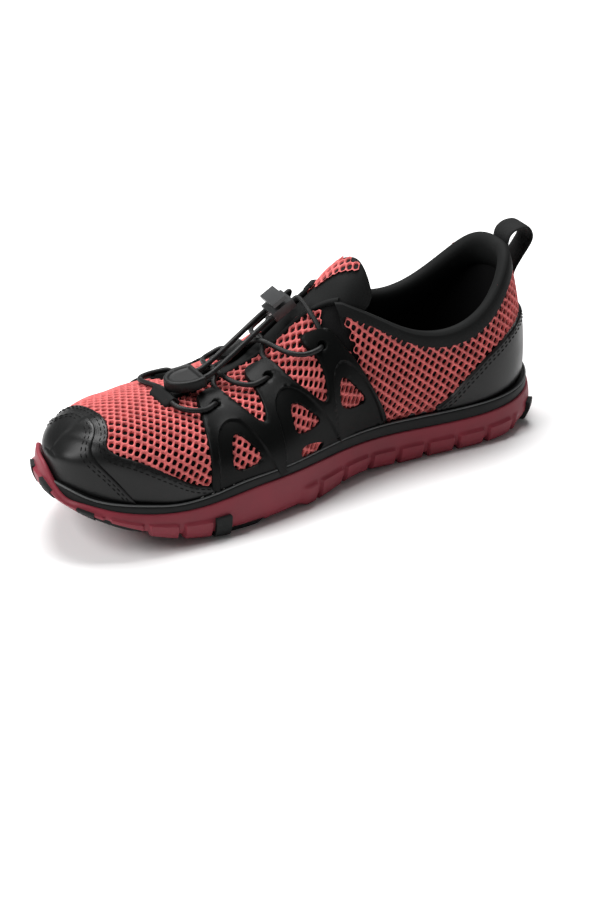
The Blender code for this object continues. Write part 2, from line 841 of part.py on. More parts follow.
add_tread("tread_forefoot", FOREFOOT_TREAD)
add_tread("tread_heel", HEEL_TREAD)


# Midsole: a foam band on the floor of the outsole, under the lower edge of the upper
def midsole_low(along):
    return sole_floor(along) + GAP


def midsole_top(along):
    inside_upper = min(max(along, UPPER_HEEL), UPPER_TOE)
    return spring(along) + FEATHER_SPLINE(inside_upper) - GAP


midsole_levels = [
    (MIDSOLE_OUTER, midsole_low),
    (MIDSOLE_OUTER, midsole_top),
    (MIDSOLE_INNER, midsole_top),
    (MIDSOLE_INNER, midsole_low),
]
add_object("midsole", lofted_ring("midsole", midsole_levels, False), BLACK_FOAM)


# Insole: a flat board inside the band
def insole_top(along):
    return midsole_low(along) + INSOLE_THICK


insole_levels = [(INSOLE_INSET, midsole_low), (INSOLE_INSET, insole_top)]
add_object("insole", lofted_ring("insole", insole_levels, True), PALE_BOARD)


# Upper: one shell over the last, open at the collar, the throat and underneath
def back_under(edge_table):
    """Last place along where the back of the heel still stays under an edge's height."""
    along = UPPER_HEEL
    while rib(along + BACK_STEP, MEDIAL)[1][-1] < np.interp(along, edge_table[:, 0], edge_table[:, 1]):
        along += BACK_STEP
    return along


def snapped(places, along):
    """The same places with the nearest one moved to a given place."""
    nearest = min(places, key=lambda spot: abs(spot - along))
    return [along if spot == nearest else spot for spot in places]


def upper_surface():
    points = []
    places = [station(i / STATIONS, UPPER_HEEL, UPPER_LENGTH) for i in range(STATIONS + 1)]
    places = snapped(places, back_under(COLLAR))
    for along in places:
        for side in (MEDIAL, LATERAL):
            top = upper_edge(along, side)
            steps = range(RIB_STEPS + 1)
            points += [on_last(along, side, top * k / RIB_STEPS) for k in steps]
    columns = 2 * (RIB_STEPS + 1)
    faces = []
    for quad in grid_faces(len(places), columns):
        if quad[0] % columns != RIB_STEPS:
            faces.append(quad)
    return points, faces


upper_points, upper_faces = upper_surface()
skin_shell("upper", upper_points, upper_faces, WALL, CORAL_MESH, outward=False)


# Toe cap: a shell over the toe, from its back edge to the tip
def cap_surface():
    points = []
    for side in (MEDIAL, LATERAL):
        for i in range(CAP_ROWS):
            part = i / (CAP_ROWS - 1)
            start = float(np.interp(part, CAP_EDGE[:, 0], CAP_EDGE[:, 1]))
            for j in range(CAP_COLUMNS):
                along = start + (UPPER_TOE - start) * math.sin(math.pi / 2 * j / (CAP_COLUMNS - 1))
                up = EDGE_CLEAR + part * (girth(along, side) - EDGE_CLEAR)
                points.append(on_last(along, side, up, OVERLAY_LIFT))
    faces = grid_faces(CAP_ROWS, CAP_COLUMNS)
    return points, faces + [tuple(CAP_ROWS * CAP_COLUMNS + i for i in face) for face in faces]


skin_shell("toe_cap", *cap_surface(), CAP_THICK, BLACK_LEATHER, outward=True)


# Heel counter: a shell round the back of the heel
def counter_surface():
    reach = COUNTER_EDGE[-1, 0] - UPPER_HEEL
    turns = [math.pi / 2 * i / COUNTER_STEPS for i in range(COUNTER_STEPS + 1)]
    places = [UPPER_HEEL + reach * (1 - math.cos(turn)) for turn in turns]
    places = snapped(places, back_under(COUNTER_EDGE))
    points = []
    for side in (MEDIAL, LATERAL):
        for along in places:
            top = up_at_height(along, side, np.interp(along, COUNTER_EDGE[:, 0], COUNTER_EDGE[:, 1]))
            low = min(EDGE_CLEAR, top / 2)
            for k in range(COUNTER_ROWS + 1):
                points.append(on_last(along, side, low + (top - low) * k / COUNTER_ROWS, COUNTER_LIFT))
    faces = grid_faces(COUNTER_STEPS + 1, COUNTER_ROWS + 1)
    half = len(points) // 2
    return points, faces + [tuple(half + i for i in face) for face in faces]


skin_shell("heel_counter", *counter_surface(), COUNTER_THICK, BLACK_LEATHER, outward=True)


# Zigzag overlays: three eyelet tabs on each side, wrapped on the upper
def add_zigzag(name, side):
    eyelets = [regular(spot, EYELET / 2, EYELET_SIDES) for spot in EYELETS]
    flat, faces = flat_patch([ZIGZAG], ZIGZAG_WINDOWS + eyelets, PATCH_STEP)
    points = [on_last(a, side, up, OVERLAY_LIFT) for a, up in flat]
    skin_shell(name, points, faces, ZIGZAG_THICK, BLACK_MOULDED, outward=True)


add_zigzag("overlay_medial", MEDIAL)
add_zigzag("overlay_lateral", LATERAL)


# Tongue: a padded strip under the throat, sewn in at its front end
def tongue_surface():
    first, last = TONGUE[0, 0], TONGUE[-1, 0]
    points = []
    for i in range(TONGUE_STEPS + 1):
        along = first + (last - first) * i / TONGUE_STEPS
        half = np.interp(along, TONGUE[:, 0], TONGUE[:, 1])
        for j in range(TONGUE_COLUMNS):
            across = half * (2 * j / (TONGUE_COLUMNS - 1) - 1)
            side = MEDIAL if across >= 0 else LATERAL
            points.append(on_last(along, side, girth(along, side) - abs(across), TONGUE_LIFT))
    return points, grid_faces(TONGUE_STEPS + 1, TONGUE_COLUMNS)


skin_shell("tongue", *tongue_surface(), TONGUE_THICK, BLACK_CLOTH, outward=False)


# Lace: a bar in front of the throat and two crossings over it
def lace_point(side, along, up, lift):
    return on_last(along, side, min(up, girth(along, side)), CORD_LIFT + lift)


tube("lace_bar", [lace_point(*row) for row in LACE_BAR], CORD, BLACK_CORD)
for number, start in enumerate(LACE_CROSS_STARTS, 1):
    strands = []
    for side in (MEDIAL, LATERAL):
        route = [lace_point(side * turn, start - back, up, lift) for turn, back, up, lift in LACE_CROSS]
        strands.append(as_mesh(tube("strand", route, CORD, BLACK_CORD)))
    crossing = add_object(f"lace_cross_{number}", strands[0], BLACK_CORD)
    boolean(crossing, f"crossing_strand_{number}", strands[1], "UNION")


# Cord lock: a grooved block on the cords and a plate that is pressed down to free them
lock_seat = on_last(LOCK_ALONG, LATERAL, girth(LOCK_ALONG, LATERAL) - LOCK_ASIDE, LOCK_LIFT)
lock_turn = Matrix.Rotation(LOCK_SLOPE, 4, "Y")
lock = bpy.data.objects.new("lock", None)
lock.matrix_world = Matrix.Translation(lock_seat) @ lock_turn
shoe.objects.link(lock)


def block_mesh(name, size, centre):
    """Box of a size about a centre, in the lock's own frame."""
    form = bmesh.new()
    bmesh.ops.create_cube(form, size=1.0)
    bmesh.ops.scale(form, vec=[s * MM for s in size], verts=form.verts)
    bmesh.ops.translate(form, vec=[c * MM for c in centre], verts=form.verts)
    mesh = bpy.data.meshes.new(name)
    form.to_mesh(mesh)
    form.free()
    return mesh


def lock_piece(name, mesh):
    piece = add_object(name, mesh, GREY_PLASTIC, smooth=False)
    piece.parent = lock
    return piece


lock_body = lock_piece("lock_body", block_mesh("lock_body", LOCK_BODY, (0, 0, 0)))
body_top = LOCK_BODY[2] / 2
pocket_side = LOCK_STEM[0] + 2 * LOCK_POCKET_PLAY
pocket_size = (pocket_side, pocket_side, LOCK_POCKET_DEPTH + LOCK_BITE)
pocket_centre = (0, 0, body_top + LOCK_BITE - pocket_size[2] / 2)
pocket = boolean(lock_body, "lock_pocket", block_mesh("lock_pocket", pocket_size, pocket_centre), "DIFFERENCE")
pocket.parent = lock

plate_low = body_top + LOCK_REST_GAP
plate_centre = (0, 0, plate_low + LOCK_PLATE[2] / 2)
lock_button = lock_piece("lock_button", block_mesh("lock_button", LOCK_PLATE, plate_centre))
stem_centre = (0, 0, plate_low + LOCK_BITE - LOCK_STEM[2] / 2)
stem = boolean(lock_button, "lock_stem", block_mesh("lock_stem", LOCK_STEM, stem_centre), "UNION")
stem.parent = lock


# Free ends of the lace: from the lock to the clip
def in_lock(x, y, z):
    return lock_seat + lock_turn.to_3x3() @ Vector((x * MM, y * MM, z * MM))


clip_seat = on_last(CLIP_ALONG, MEDIAL, girth(CLIP_ALONG, MEDIAL), CLIP_LIFT + CLIP_THICK / 2)
clip_turn = Matrix.Rotation(CLIP_SLOPE, 4, "Y")


def in_clip(x, y, z):
    return clip_seat + clip_turn.to_3x3() @ Vector((x * MM, y * MM, z * MM))


for name, side in (("lace_end_medial", MEDIAL), ("lace_end_lateral", LATERAL)):
    y = side * LOCK_CORD_SPREAD
    lock_face = LOCK_BODY[0] / 2 + GAP
    clip_face = -CLIP_LENGTH / 2 - GAP
    start = in_lock(lock_face, y, 0)
    end = in_clip(clip_face, y, 0)
    leave = in_lock(lock_face + LACE_LEAD, y, 0)
    arrive = in_clip(clip_face - LACE_LEAD, y, LACE_SAG)
    tube(name, [start, leave, arrive, end], CORD, BLACK_CORD)

# Rising cords: from the upper tabs to the lock
for name, side in (("lace_rise_medial", MEDIAL), ("lace_rise_lateral", LATERAL)):
    y = side * LOCK_CORD_SPREAD
    lock_face = -LOCK_BODY[0] / 2 - GAP
    route = [lace_point(side, *row) for row in LACE_RISE]
    route += [in_lock(lock_face - LACE_LEAD, y, 0), in_lock(lock_face, y, 0)]
    tube(name, route, CORD, BLACK_CORD)


# Clip on the lace's ends: a D-shaped block
def clip_outline():
    half = CLIP_WIDTH / 2
    straight = [(-CLIP_LENGTH / 2, half), (-CLIP_LENGTH / 2, -half)]
    turns = [-math.pi / 2 + math.pi * k / CLIP_SIDES for k in range(CLIP_SIDES + 1)]
    centre = CLIP_STRAIGHT - CLIP_LENGTH / 2
    reach = CLIP_LENGTH - CLIP_STRAIGHT
    return straight + [(centre + reach * math.cos(t), half * math.sin(t)) for t in turns]


clip_points = []
for level in (-CLIP_THICK / 2, CLIP_THICK / 2):
    clip_points += [in_clip(x, y, level) for x, y in clip_outline()]
clip_count = len(clip_points) // 2
clip_faces = [tuple(range(clip_count)), tuple(range(clip_count, 2 * clip_count))]
for j in range(clip_count):
    k = (j + 1) % clip_count
    clip_faces.append((j, k, clip_count + k, clip_count + j))
add_object("lace_end_clip", mesh_from("lace_end_clip", clip_points, clip_faces), BLACK_MOULDED, smooth=False)


# Pull loop: folded webbing sewn to the back of the heel
loop_route = smooth_route([place(a, 0, z) for a, z in LOOP_PATH], LOOP_STEP)
loop_points = []
for spot in loop_route:
    loop_points += [spot + Vector((0, side * LOOP_WIDTH / 2 * MM, 0)) for side in (MEDIAL, LATERAL)]
loop_mesh = mesh_from("pull_loop", loop_points, grid_faces(len(loop_route), 2))
pull_loop = add_object("pull_loop", loop_mesh, BLACK_CLOTH)
band = pull_loop.modifiers.new("band", "SOLIDIFY")
band.thickness = LOOP_THICK * MM
band.offset = 0.0
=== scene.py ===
"""Looks of the barefoot sneaker for the right foot: meshes, materials, lace, light and camera.

Sizes are in millimetres, and MM turns them into metres. "along" runs from the back of the sole to the toe.
"offset" runs from the heel's axis to the medial side. "up" runs over the skin of the last, from the lower
edge of the upper to the ridge over the instep. "lift" stands off that skin.
"""

import math

import bmesh
import bpy
import numpy as np
from mathutils import Matrix, Vector
from mathutils.geometry import delaunay_2d_cdt


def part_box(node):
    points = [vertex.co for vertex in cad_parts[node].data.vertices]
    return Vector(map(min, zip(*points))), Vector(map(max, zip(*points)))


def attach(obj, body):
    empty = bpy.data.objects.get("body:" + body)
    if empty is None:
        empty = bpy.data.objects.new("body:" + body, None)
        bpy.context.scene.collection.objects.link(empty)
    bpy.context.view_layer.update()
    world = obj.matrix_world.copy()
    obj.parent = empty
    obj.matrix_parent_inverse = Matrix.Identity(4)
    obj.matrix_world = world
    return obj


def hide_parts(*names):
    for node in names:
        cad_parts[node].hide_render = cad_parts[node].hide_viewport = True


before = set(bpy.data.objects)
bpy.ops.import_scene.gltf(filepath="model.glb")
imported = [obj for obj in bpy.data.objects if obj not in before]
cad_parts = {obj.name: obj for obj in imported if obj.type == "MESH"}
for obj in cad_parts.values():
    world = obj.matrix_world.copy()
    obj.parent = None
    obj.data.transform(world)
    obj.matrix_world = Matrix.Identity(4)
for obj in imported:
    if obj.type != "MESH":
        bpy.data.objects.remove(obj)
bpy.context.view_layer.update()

# Outsole: a shallow cup of red rubber with a raised rim, edge lugs, flex grooves and drain holes.
# It is moulded in one piece, and the upper is cemented into it.
MM = 0.001
MEDIAL = 1
LATERAL = -1
SOLE_LENGTH = 275.0
ORIGIN = (136.0, 6.7)
LUG_DEPTH = 2.2
SOLE_INSET = 3.5
FLOOR_HEIGHT = 8.0
RING = 640
WELD = 0.002
RUBBER_RED = (0.205, 0.026, 0.039)
# Part of a noise that is used in the materials, and how far it changes the gloss
NOISE_RANGE = (0.3, 0.7)
GLOSS_CHANGE = 0.06
# Along, medial and lateral offset of the sole's edge
OUTLINE = np.array(
    [
        (0, 0, 0),
        (12, 27, -28),
        (36, 36, -36.5),
        (75, 35.5, -36),
        (105, 37, -36),
        (130, 44, -39),
        (155, 53, -44),
        (180, 58, -46),
        (205, 59.3, -43.5),
        (230, 58, -35),
        (250, 53, -20.5),
        (266, 42.5, -5),
        (275, 20, 20),
    ]
)
# Along, height of the rim over the floor
RIM = np.array(
    [(0, 20), (12, 18.5), (40, 16.2), (75, 16.3), (110, 18.3), (145, 20.3), (183, 20.7)]
    + [(200, 18.9), (213, 18.1), (227, 18.8), (240, 20.6), (254, 23.6), (263, 26.2), (275, 27)]
)
# Top of the rim, from its outer face to its inner face: inset, drop below the rim's height
RIM_PROFILE = [(0.95, -0.2), (1.3, -0.35), (1.9, -0.35), (2.6, -0.1), (3.0, 0.6)]
# Guard over the tip of the toe: rise, offsets of its two ends, widths of its two slopes, lean at its top
GUARD_RISE = 14.0
GUARD_ENDS = (-14.0, 39.0)
GUARD_SLOPES = (15.0, 22.0)
GUARD_LEAN = 0.2
# Toe spring and rounded heel: along where each starts, and its rise. Arch: along, half its length, its lift
TOE_SPRING = (185.0, 26.5)
HEEL_SPRING = (45.0, 4.0)
ARCH = (115.0, 30.0, 2.5)
# Side wall, from the underside to the rim: part of the wall, inset, part of the height
WALL_PROFILE = np.array([(0, 3.5, 0), (0.12, 1.9, 0.05), (0.28, 0.6, 0.2), (0.5, 0, 0.45), (1, 0.8, 1)])
WALL_ROWS = [0, 0.05, 0.12, 0.2, 0.3, 0.4, 0.48, 0.53, 0.57, 0.61, 0.66, 0.75, 0.86, 0.95, 1]
# Edge lugs: side, first and last slot, pitch
LUG_SLOTS = [(MEDIAL, 24, 150, 17), (LATERAL, 60, 210, 17), (MEDIAL, 205, 262, 17), (LATERAL, 222, 262, 15)]
LUG_WIDTH = 12.0
LUG_STAND = 1.5
# Corner radius of the lugs' pads under the sole, and width of their sloped edge
PAD_ROUND = 3.0
PAD_EDGE = 0.9
# Part of the side wall where the lugs end, and the length of that change
LUG_TOP = 0.6
LUG_TOP_FADE = 0.07
# Width of a slot, and how far it runs out past the edge
SLOT_WIDTH = 2.2
SLOT_OUT = 4.0
# Stretches with lugs on each side: along where they start and end. Offset between the two sides
LUG_ZONES = {MEDIAL: [(18, 156), (198, 290)], LATERAL: [(54, 290)]}
LUG_FADE = 6.0
LUG_MIDDLE = 8.0
# Drain holes of the heel and the forefoot: along, first offset, pitch across, count, shift along
HEEL_HOLES = [
    (18, 11, 13, 1, 0),
    (32, -1, 13, 1, 0),
    (29, 17, 13, 1, 0),
    (39, 10, 13, 1, 0),
    (55, -9, 13, 3, -5),
    (69, -12.5, 13, 3, -6),
    (84, -14, 13, 3, -8),
    (98, -15, 13, 3, -9),
    (93, 10, 13, 1, 0),
]
FOREFOOT_HOLES = [
    (125, -16, 13, 3, 0),
    (137, -13, 13.5, 3, 0),
    (152, -22, 14, 4, 0),
    (168, -29, 14.5, 5, 0),
    (185, -21, 14.5, 4, 0),
    (186, 43, 13, 1, 0),
    (199, -26, 13.5, 3, 0),
    (202, 28, 13, 1, 0),
    (210, -20, 13, 2, 0),
    (221, 15, 18, 2, 0),
    (222, -13, 13, 1, 0),
    (233, -5, 13, 1, 0),
    (241, 16, 13, 1, 0),
]
# Half the size of a hole, and how square or pointed its shape is
HOLE_HALF = (5.0, 4.4)
SQUARE_POWER = 4
DIAMOND_POWER = 1.5
DIAMOND_SIZE = 3.6
# Flex grooves between the holes, and the short marks at the toe
GROOVES = [
    [(141, -19), (154, -14), (176, -4), (193, 5), (203, 10)],
    [(155, -27), (177, -17), (200, -7), (215, 1)],
    [(178, -31), (200, -19), (219, -8), (235, 1)],
    [(121, -9), (139, -4), (165, 6), (182, 14)],
    [(121, 4), (136, 8), (154, 15), (166, 23)],
    [(206, -29), (216, -24), (233, -13), (254, 2)],
]
MARKS = [(238, 26), (243, 26), (225, 35), (230, 35), (243, 44), (248, 44), (255, 16), (260, 16)]
MARK_HALF = 3.5
MARK_STAND = 0.9
MARK_FLAT = 0.8
MARK_WALL = 0.5
HOLE_BEVEL = 0.6
# Grooves: depth, half width of the floor, width of the wall, stand of the lip and its distance
GROOVE_DEPTH = 1.2
GROOVE_FLOOR = 0.3
GROOVE_WALL = 0.7
GROOVE_LIP = 0.35
GROOVE_LIP_AT = 1.6
# Channels that hold the tread: depth, gap round it, width of the wall, stand of the lip and its distance
CHANNEL_DEPTH = 0.7
CHANNEL_GAP = 0.9
CHANNEL_WALL = 0.4
CHANNEL_LIP = 0.5
CHANNEL_LIP_AT = 1.9
LIP_WIDTH = 0.5
# Plain oval under the waist: along, half its length, half its width, depth of its line
OVAL = (110.0, 9.0, 13.0)
OVAL_DEPTH = 0.5
# Black branches of the tread: width, points
FOREFOOT_TREAD = [
    (7, [(150, 30), (166, 41), (182, 52), (200, 60)]),
    (9, [(166, 41), (181, 32), (195, 23), (211, 8)]),
    (5, [(170, 24), (181, 31)]),
    (5, [(186, 15), (195, 21)]),
    (7.2, [(211, 7), (240, 7), (274, 7)]),
    (6.8, [(203, 17), (226, 22), (250, 25), (274.5, 25)]),
    (6.8, [(182, 36), (208, 44), (240, 48), (264, 44.5)]),
]
HEEL_TREAD = [
    (7.5, [(6, 4), (13, 1), (21, -6), (30, -14), (42, -18), (54, -22)]),
    (5, [(13, 1), (6, 8), (8, 15), (14, 21)]),
    (4.6, [(15, -2), (9, -12), (4, -22)]),
    (4.6, [(17, -1), (25, 8)]),
    (5, [(29, -15), (21, -24), (15, -36)]),
    (4.6, [(36, -12), (44, -2)]),
    (6, [(54, -22), (47, -30), (41, -40)]),
]
# Length over which the branches flow into each other
STROKE_BLEND = 0.7


def curve(knots, values):
    """Natural cubic curve through a few set values, read at any number of places."""
    knots = np.asarray(knots, float)
    values = np.asarray(values, float)
    steps = np.diff(knots)
    matrix = np.eye(len(knots))
    right = np.zeros(len(knots))
    for i in range(1, len(knots) - 1):
        matrix[i, i - 1 : i + 2] = steps[i - 1], 2 * (steps[i - 1] + steps[i]), steps[i]
        slopes = np.diff(values[i - 1 : i + 2]) / steps[i - 1 : i + 1]
        right[i] = 6 * (slopes[1] - slopes[0])
    bends = np.linalg.solve(matrix, right)

    def read(at):
        at = np.asarray(at, float)
        i = np.clip(np.searchsorted(knots, at) - 1, 0, len(steps) - 1)
        after = at - knots[i]
        before = knots[i + 1] - at
        bend = (bends[i] * before**3 + bends[i + 1] * after**3) / (6 * steps[i])
        low = (values[i] / steps[i] - bends[i] * steps[i] / 6) * before
        high = (values[i + 1] / steps[i] - bends[i + 1] * steps[i] / 6) * after
        return bend + low + high

    return read


def soft(x):
    """Smooth step from 0 to 1."""
    x = np.clip(x, 0, 1)
    return x * x * (3 - 2 * x)


def round_ends(along, start, length):
    """Even fraction of a curve with round ends: 0 at the heel, 1 at the toe."""
    return np.arccos(np.clip(1 - 2 * (np.asarray(along, float) - start) / length, -1, 1)) / math.pi


def sole_curve(places, values):
    """Curve along the sole through a few set values, with round ends at the heel and the toe."""
    read = curve(round_ends(places, 0, SOLE_LENGTH), values)
    return lambda along: read(round_ends(along, 0, SOLE_LENGTH))


edge_curves = {
    MEDIAL: sole_curve(OUTLINE[:, 0], OUTLINE[:, 1]),
    LATERAL: sole_curve(OUTLINE[:, 0], OUTLINE[:, 2]),
}


def edge(along, side):
    return edge_curves[side](along)


def spring(along):
    """Toe spring of the sole and the rounding of its heel."""
    along = np.asarray(along, float)
    toe = np.maximum(0, (along - TOE_SPRING[0]) / (SOLE_LENGTH - TOE_SPRING[0]))
    heel = np.maximum(0, (HEEL_SPRING[0] - along) / HEEL_SPRING[0])
    return TOE_SPRING[1] * toe**2 + HEEL_SPRING[1] * heel**2


def tread_line(along):
    """Underside of the tread: the toe spring's line, lifted under the arch."""
    arch = np.maximum(0, 1 - np.abs(np.asarray(along, float) - ARCH[0]) / ARCH[1])
    return spring(along) + ARCH[2] * np.sin(arch * math.pi / 2) ** 2


def place(along, offset, height):
    """Points of the part's frame, still in millimetres."""
    return np.stack(np.broadcast_arrays(along - ORIGIN[0], offset - ORIGIN[1], height), axis=-1)


def even(path, count):
    """A path's points at an even step."""
    path = np.asarray(path, float)
    lengths = np.concatenate([[0], np.cumsum(np.linalg.norm(np.diff(path, axis=0), axis=1))])
    at = np.linspace(0, lengths[-1], count)
    return np.stack([np.interp(at, lengths, column) for column in path.T], axis=-1)


def bent(points, count):
    """Smooth path through a few points."""
    points = np.asarray(points, float)
    lengths = np.concatenate([[0], np.cumsum(np.linalg.norm(np.diff(points, axis=0), axis=1))])
    at = np.linspace(0, lengths[-1], 8 * count)
    return even(np.stack([curve(lengths, column)(at) for column in points.T], axis=-1), count)


def row_beside(path, inset):
    """Flat path moved to its left."""
    step = np.gradient(path, axis=0)
    step = step / np.linalg.norm(step, axis=1)[:, None]
    return path + inset * np.stack([-step[:, 1], step[:, 0]], axis=1)


def path_distance(points, path):
    """Distance from flat points to an open path."""
    path = np.asarray(path, float)
    step = np.diff(path, axis=0)
    span = np.maximum((step**2).sum(1), 1e-12)
    near = []
    for some in np.array_split(points, len(points) // 4000 + 1):
        gap = some[:, None] - path[:-1]
        part = np.clip((gap * step).sum(2) / span, 0, 1)
        near.append(np.linalg.norm(gap - part[..., None] * step, axis=2).min(1))
    return np.concatenate(near)


def loop_distance(points, loop):
    """Distance from flat points to a closed loop, less than zero inside it."""
    closed_loop = np.vstack([loop, loop[:1]])
    inside = np.zeros(len(points), bool)
    for (x0, y0), (x1, y1) in zip(closed_loop[:-1], closed_loop[1:]):
        if y0 != y1:
            crosses = (y0 > points[:, 1]) != (y1 > points[:, 1])
            inside ^= crosses & (points[:, 0] < x0 + (points[:, 1] - y0) * (x1 - x0) / (y1 - y0))
    near = path_distance(points, closed_loop)
    return np.where(inside, -near, near)


def stroke_distance(points, strokes, blend):
    """Distance to a set of thick strokes that flow into each other over a blend."""
    total = 0
    for width, path in strokes:
        total = total + np.exp(-(path_distance(points, path) - width / 2) / blend)
    return -blend * np.log(np.maximum(total, 1e-30))


def on_level(points, distance, level):
    """Points moved onto one level of a distance. Those that don't reach it are dropped."""
    reach = 0.05
    for _ in range(3):
        ahead = distance(points + (reach, 0)) - distance(points - (reach, 0))
        aside = distance(points + (0, reach)) - distance(points - (0, reach))
        slope = np.stack([ahead, aside], axis=1) / (2 * reach)
        slope = slope / np.maximum((slope**2).sum(1), 0.2)[:, None]
        points = points - slope * (distance(points) - level)[:, None]
    return points[np.abs(distance(points) - level) < reach]


def spread(points, gap):
    """Points no closer to each other than a gap."""
    kept = []
    cells = {}
    for x, y in points:
        i, j = int(x // gap), int(y // gap)
        near = [cells.get((i + a, j + b)) for a in (-1, 0, 1) for b in (-1, 0, 1)]
        if all(p is None or (p[0] - x) ** 2 + (p[1] - y) ** 2 >= gap * gap for p in near):
            cells[i, j] = (x, y)
            kept.append((x, y))
    return np.array(kept).reshape(-1, 2)


def staggered(box, pitch):
    """Points of a staggered grid over a box."""
    low, high = np.array(box, float)
    x = np.arange(low[0], high[0], pitch)
    y = np.arange(low[1], high[1], pitch * 0.866)
    spots = np.stack(np.meshgrid(x, y, indexing="ij"), axis=-1)
    spots[:, 1::2, 0] += pitch / 2
    return spots.reshape(-1, 2)


def level_rows(distance, box, levels, fine):
    """Rows of points along levels of a distance."""
    near = staggered(box, fine)
    value = distance(near)
    rows = [on_level(near[np.abs(value - level) < 0.8 * fine], distance, level) for level in levels]
    return [spread(row, 0.75 * fine) for row in rows]


def sheet(distance, box, step, levels, fine, first=(), extra=()):
    """Flat points and triangles that fill the inside of a distance, with rows along its border."""
    rows = np.vstack([*first, *level_rows(distance, box, levels, fine)])
    inner = staggered(box, step)
    inner = inner[distance(inner) < min(levels) - step / 2]
    points = np.vstack([spread(rows, 0.3 * fine), *extra, inner])
    result = delaunay_2d_cdt([Vector(p) for p in points], [], [], 0, 1e-5)
    points = np.array([tuple(p) for p in result[0]])
    triangles = np.array(result[2])
    return points, triangles[distance(points[triangles].mean(1)) < 0]


def closed(top, bottom, faces):
    """Closed solid between two copies of a sheet."""
    count = len(top)
    faces = [tuple(int(i) for i in face) for face in faces]
    used = {pair for face in faces for pair in zip(face, face[1:] + face[:1])}
    walls = [(b, a, a + count, b + count) for a, b in used if (b, a) not in used]
    under = [tuple(i + count for i in reversed(face)) for face in faces]
    return np.vstack([top, bottom]), faces + under + walls


def net(rows, columns, round_rows=False, round_columns=False):
    """Faces of a grid of points, row after row. It can close on itself either way."""
    faces = []
    for i in range(rows if round_rows else rows - 1):
        for j in range(columns if round_columns else columns - 1):
            k = (i + 1) % rows
            m = (j + 1) % columns
            faces.append((i * columns + j, i * columns + m, k * columns + m, k * columns + j))
    return faces


def joined(parts):
    """Points and faces of several meshes as one."""
    points = []
    faces = []
    start = 0
    for part, part_faces in parts:
        faces += [tuple(start + i for i in face) for face in part_faces]
        points.append(part)
        start += len(part)
    return np.vstack(points), faces


def solid(name, points, faces, look, sharp=50):
    """Object from points in millimetres, welded and smooth between edges sharper than an angle."""
    mesh = bpy.data.meshes.new(name)
    mesh.from_pydata((np.asarray(points) * MM).tolist(), [], faces)
    form = bmesh.new()
    form.from_mesh(mesh)
    bmesh.ops.remove_doubles(form, verts=form.verts, dist=WELD * MM)
    bmesh.ops.delete(form, geom=[v for v in form.verts if not v.link_faces], context="VERTS")
    bmesh.ops.recalc_face_normals(form, faces=form.faces)
    form.to_mesh(mesh)
    form.free()
    mesh.polygons.foreach_set("use_smooth", [True] * len(mesh.polygons))
    mesh.set_sharp_from_angle(angle=math.radians(sharp))
    mesh.materials.append(look)
    item = bpy.data.objects.new(name, mesh)
    bpy.context.scene.collection.objects.link(item)
    return item


def noise(tree, where, size, detail):
    """Output of a noise with a grain of some millimetres."""
    node = tree.nodes.new("ShaderNodeTexNoise")
    node.inputs["Scale"].default_value = 1 / (size * MM)
    node.inputs["Detail"].default_value = detail
    tree.links.new(where, node.inputs["Vector"])
    return node.outputs["Fac"]


def ranged(tree, value, low, high, to_low, to_high):
    """Output of a node that maps a value from one range to another."""
    node = tree.nodes.new("ShaderNodeMapRange")
    node.inputs["From Min"].default_value = low
    node.inputs["From Max"].default_value = high
    node.inputs["To Min"].default_value = to_low
    node.inputs["To Max"].default_value = to_high
    tree.links.new(value, node.inputs["Value"])
    return node.outputs["Result"]


def surface(name, colour, roughness, grain, depth, tone=0.12, specular=0.4, sheen=0.0, patch=18):
    """Opaque stuff with a fine grain, and slow changes of tone and gloss over it."""
    material = bpy.data.materials.new(name)
    material.use_nodes = True
    tree = material.node_tree
    link = tree.links.new
    shader = tree.nodes["Principled BSDF"]
    shader.inputs["Specular IOR Level"].default_value = specular
    shader.inputs["Sheen Weight"].default_value = sheen
    where = tree.nodes.new("ShaderNodeTexCoord").outputs["Object"]
    bump = tree.nodes.new("ShaderNodeBump")
    bump.inputs["Distance"].default_value = depth * MM
    link(noise(tree, where, grain, 3), bump.inputs["Height"])
    link(bump.outputs["Normal"], shader.inputs["Normal"])
    slow = noise(tree, where, patch, 4)
    paint = tree.nodes.new("ShaderNodeVectorMath")
    paint.operation = "SCALE"
    paint.inputs["Vector"].default_value = colour
    link(ranged(tree, slow, *NOISE_RANGE, 1 - tone, 1 + tone), paint.inputs["Scale"])
    link(paint.outputs["Vector"], shader.inputs["Base Color"])
    gloss = ranged(tree, slow, *NOISE_RANGE, roughness - GLOSS_CHANGE, roughness + GLOSS_CHANGE)
    link(gloss, shader.inputs["Roughness"])
    return material


turn = np.linspace(0, math.pi, 1500)
places = SOLE_LENGTH * (1 - np.cos(turn)) / 2
around = np.vstack(
    [
        np.stack([places, edge(places, MEDIAL)], axis=1),
        np.stack([places, edge(places, LATERAL)], axis=1)[::-1],
    ]
)
ring = even(around, RING + 1)[:-1]
ring_step = np.roll(ring, -1, axis=0) - np.roll(ring, 1, axis=0)
ring_step = ring_step / np.linalg.norm(ring_step, axis=1)[:, None]
ring_out = np.stack([-ring_step[:, 1], ring_step[:, 0]], axis=1)
ring_side = np.where(np.arange(RING) < np.argmax(ring[:, 0]), MEDIAL, LATERAL)
under_edge = ring - SOLE_INSET * ring_out


def ring_row(inset, height):
    """Row of points round the shoe, inside the sole's edge."""
    spots = ring - np.reshape(inset, (-1, 1)) * ring_out
    return place(spots[:, 0], spots[:, 1], height)


slots = []
for side, first, last, pitch in LUG_SLOTS:
    for along in np.arange(first, last + 1, pitch):
        k = np.argmin(np.abs(ring[:, 0] - along) + 1000 * (ring_side != side))
        slots.append(np.array([ring[k] + SLOT_OUT * ring_out[k], ring[k] - (LUG_WIDTH + 1) * ring_out[k]]))


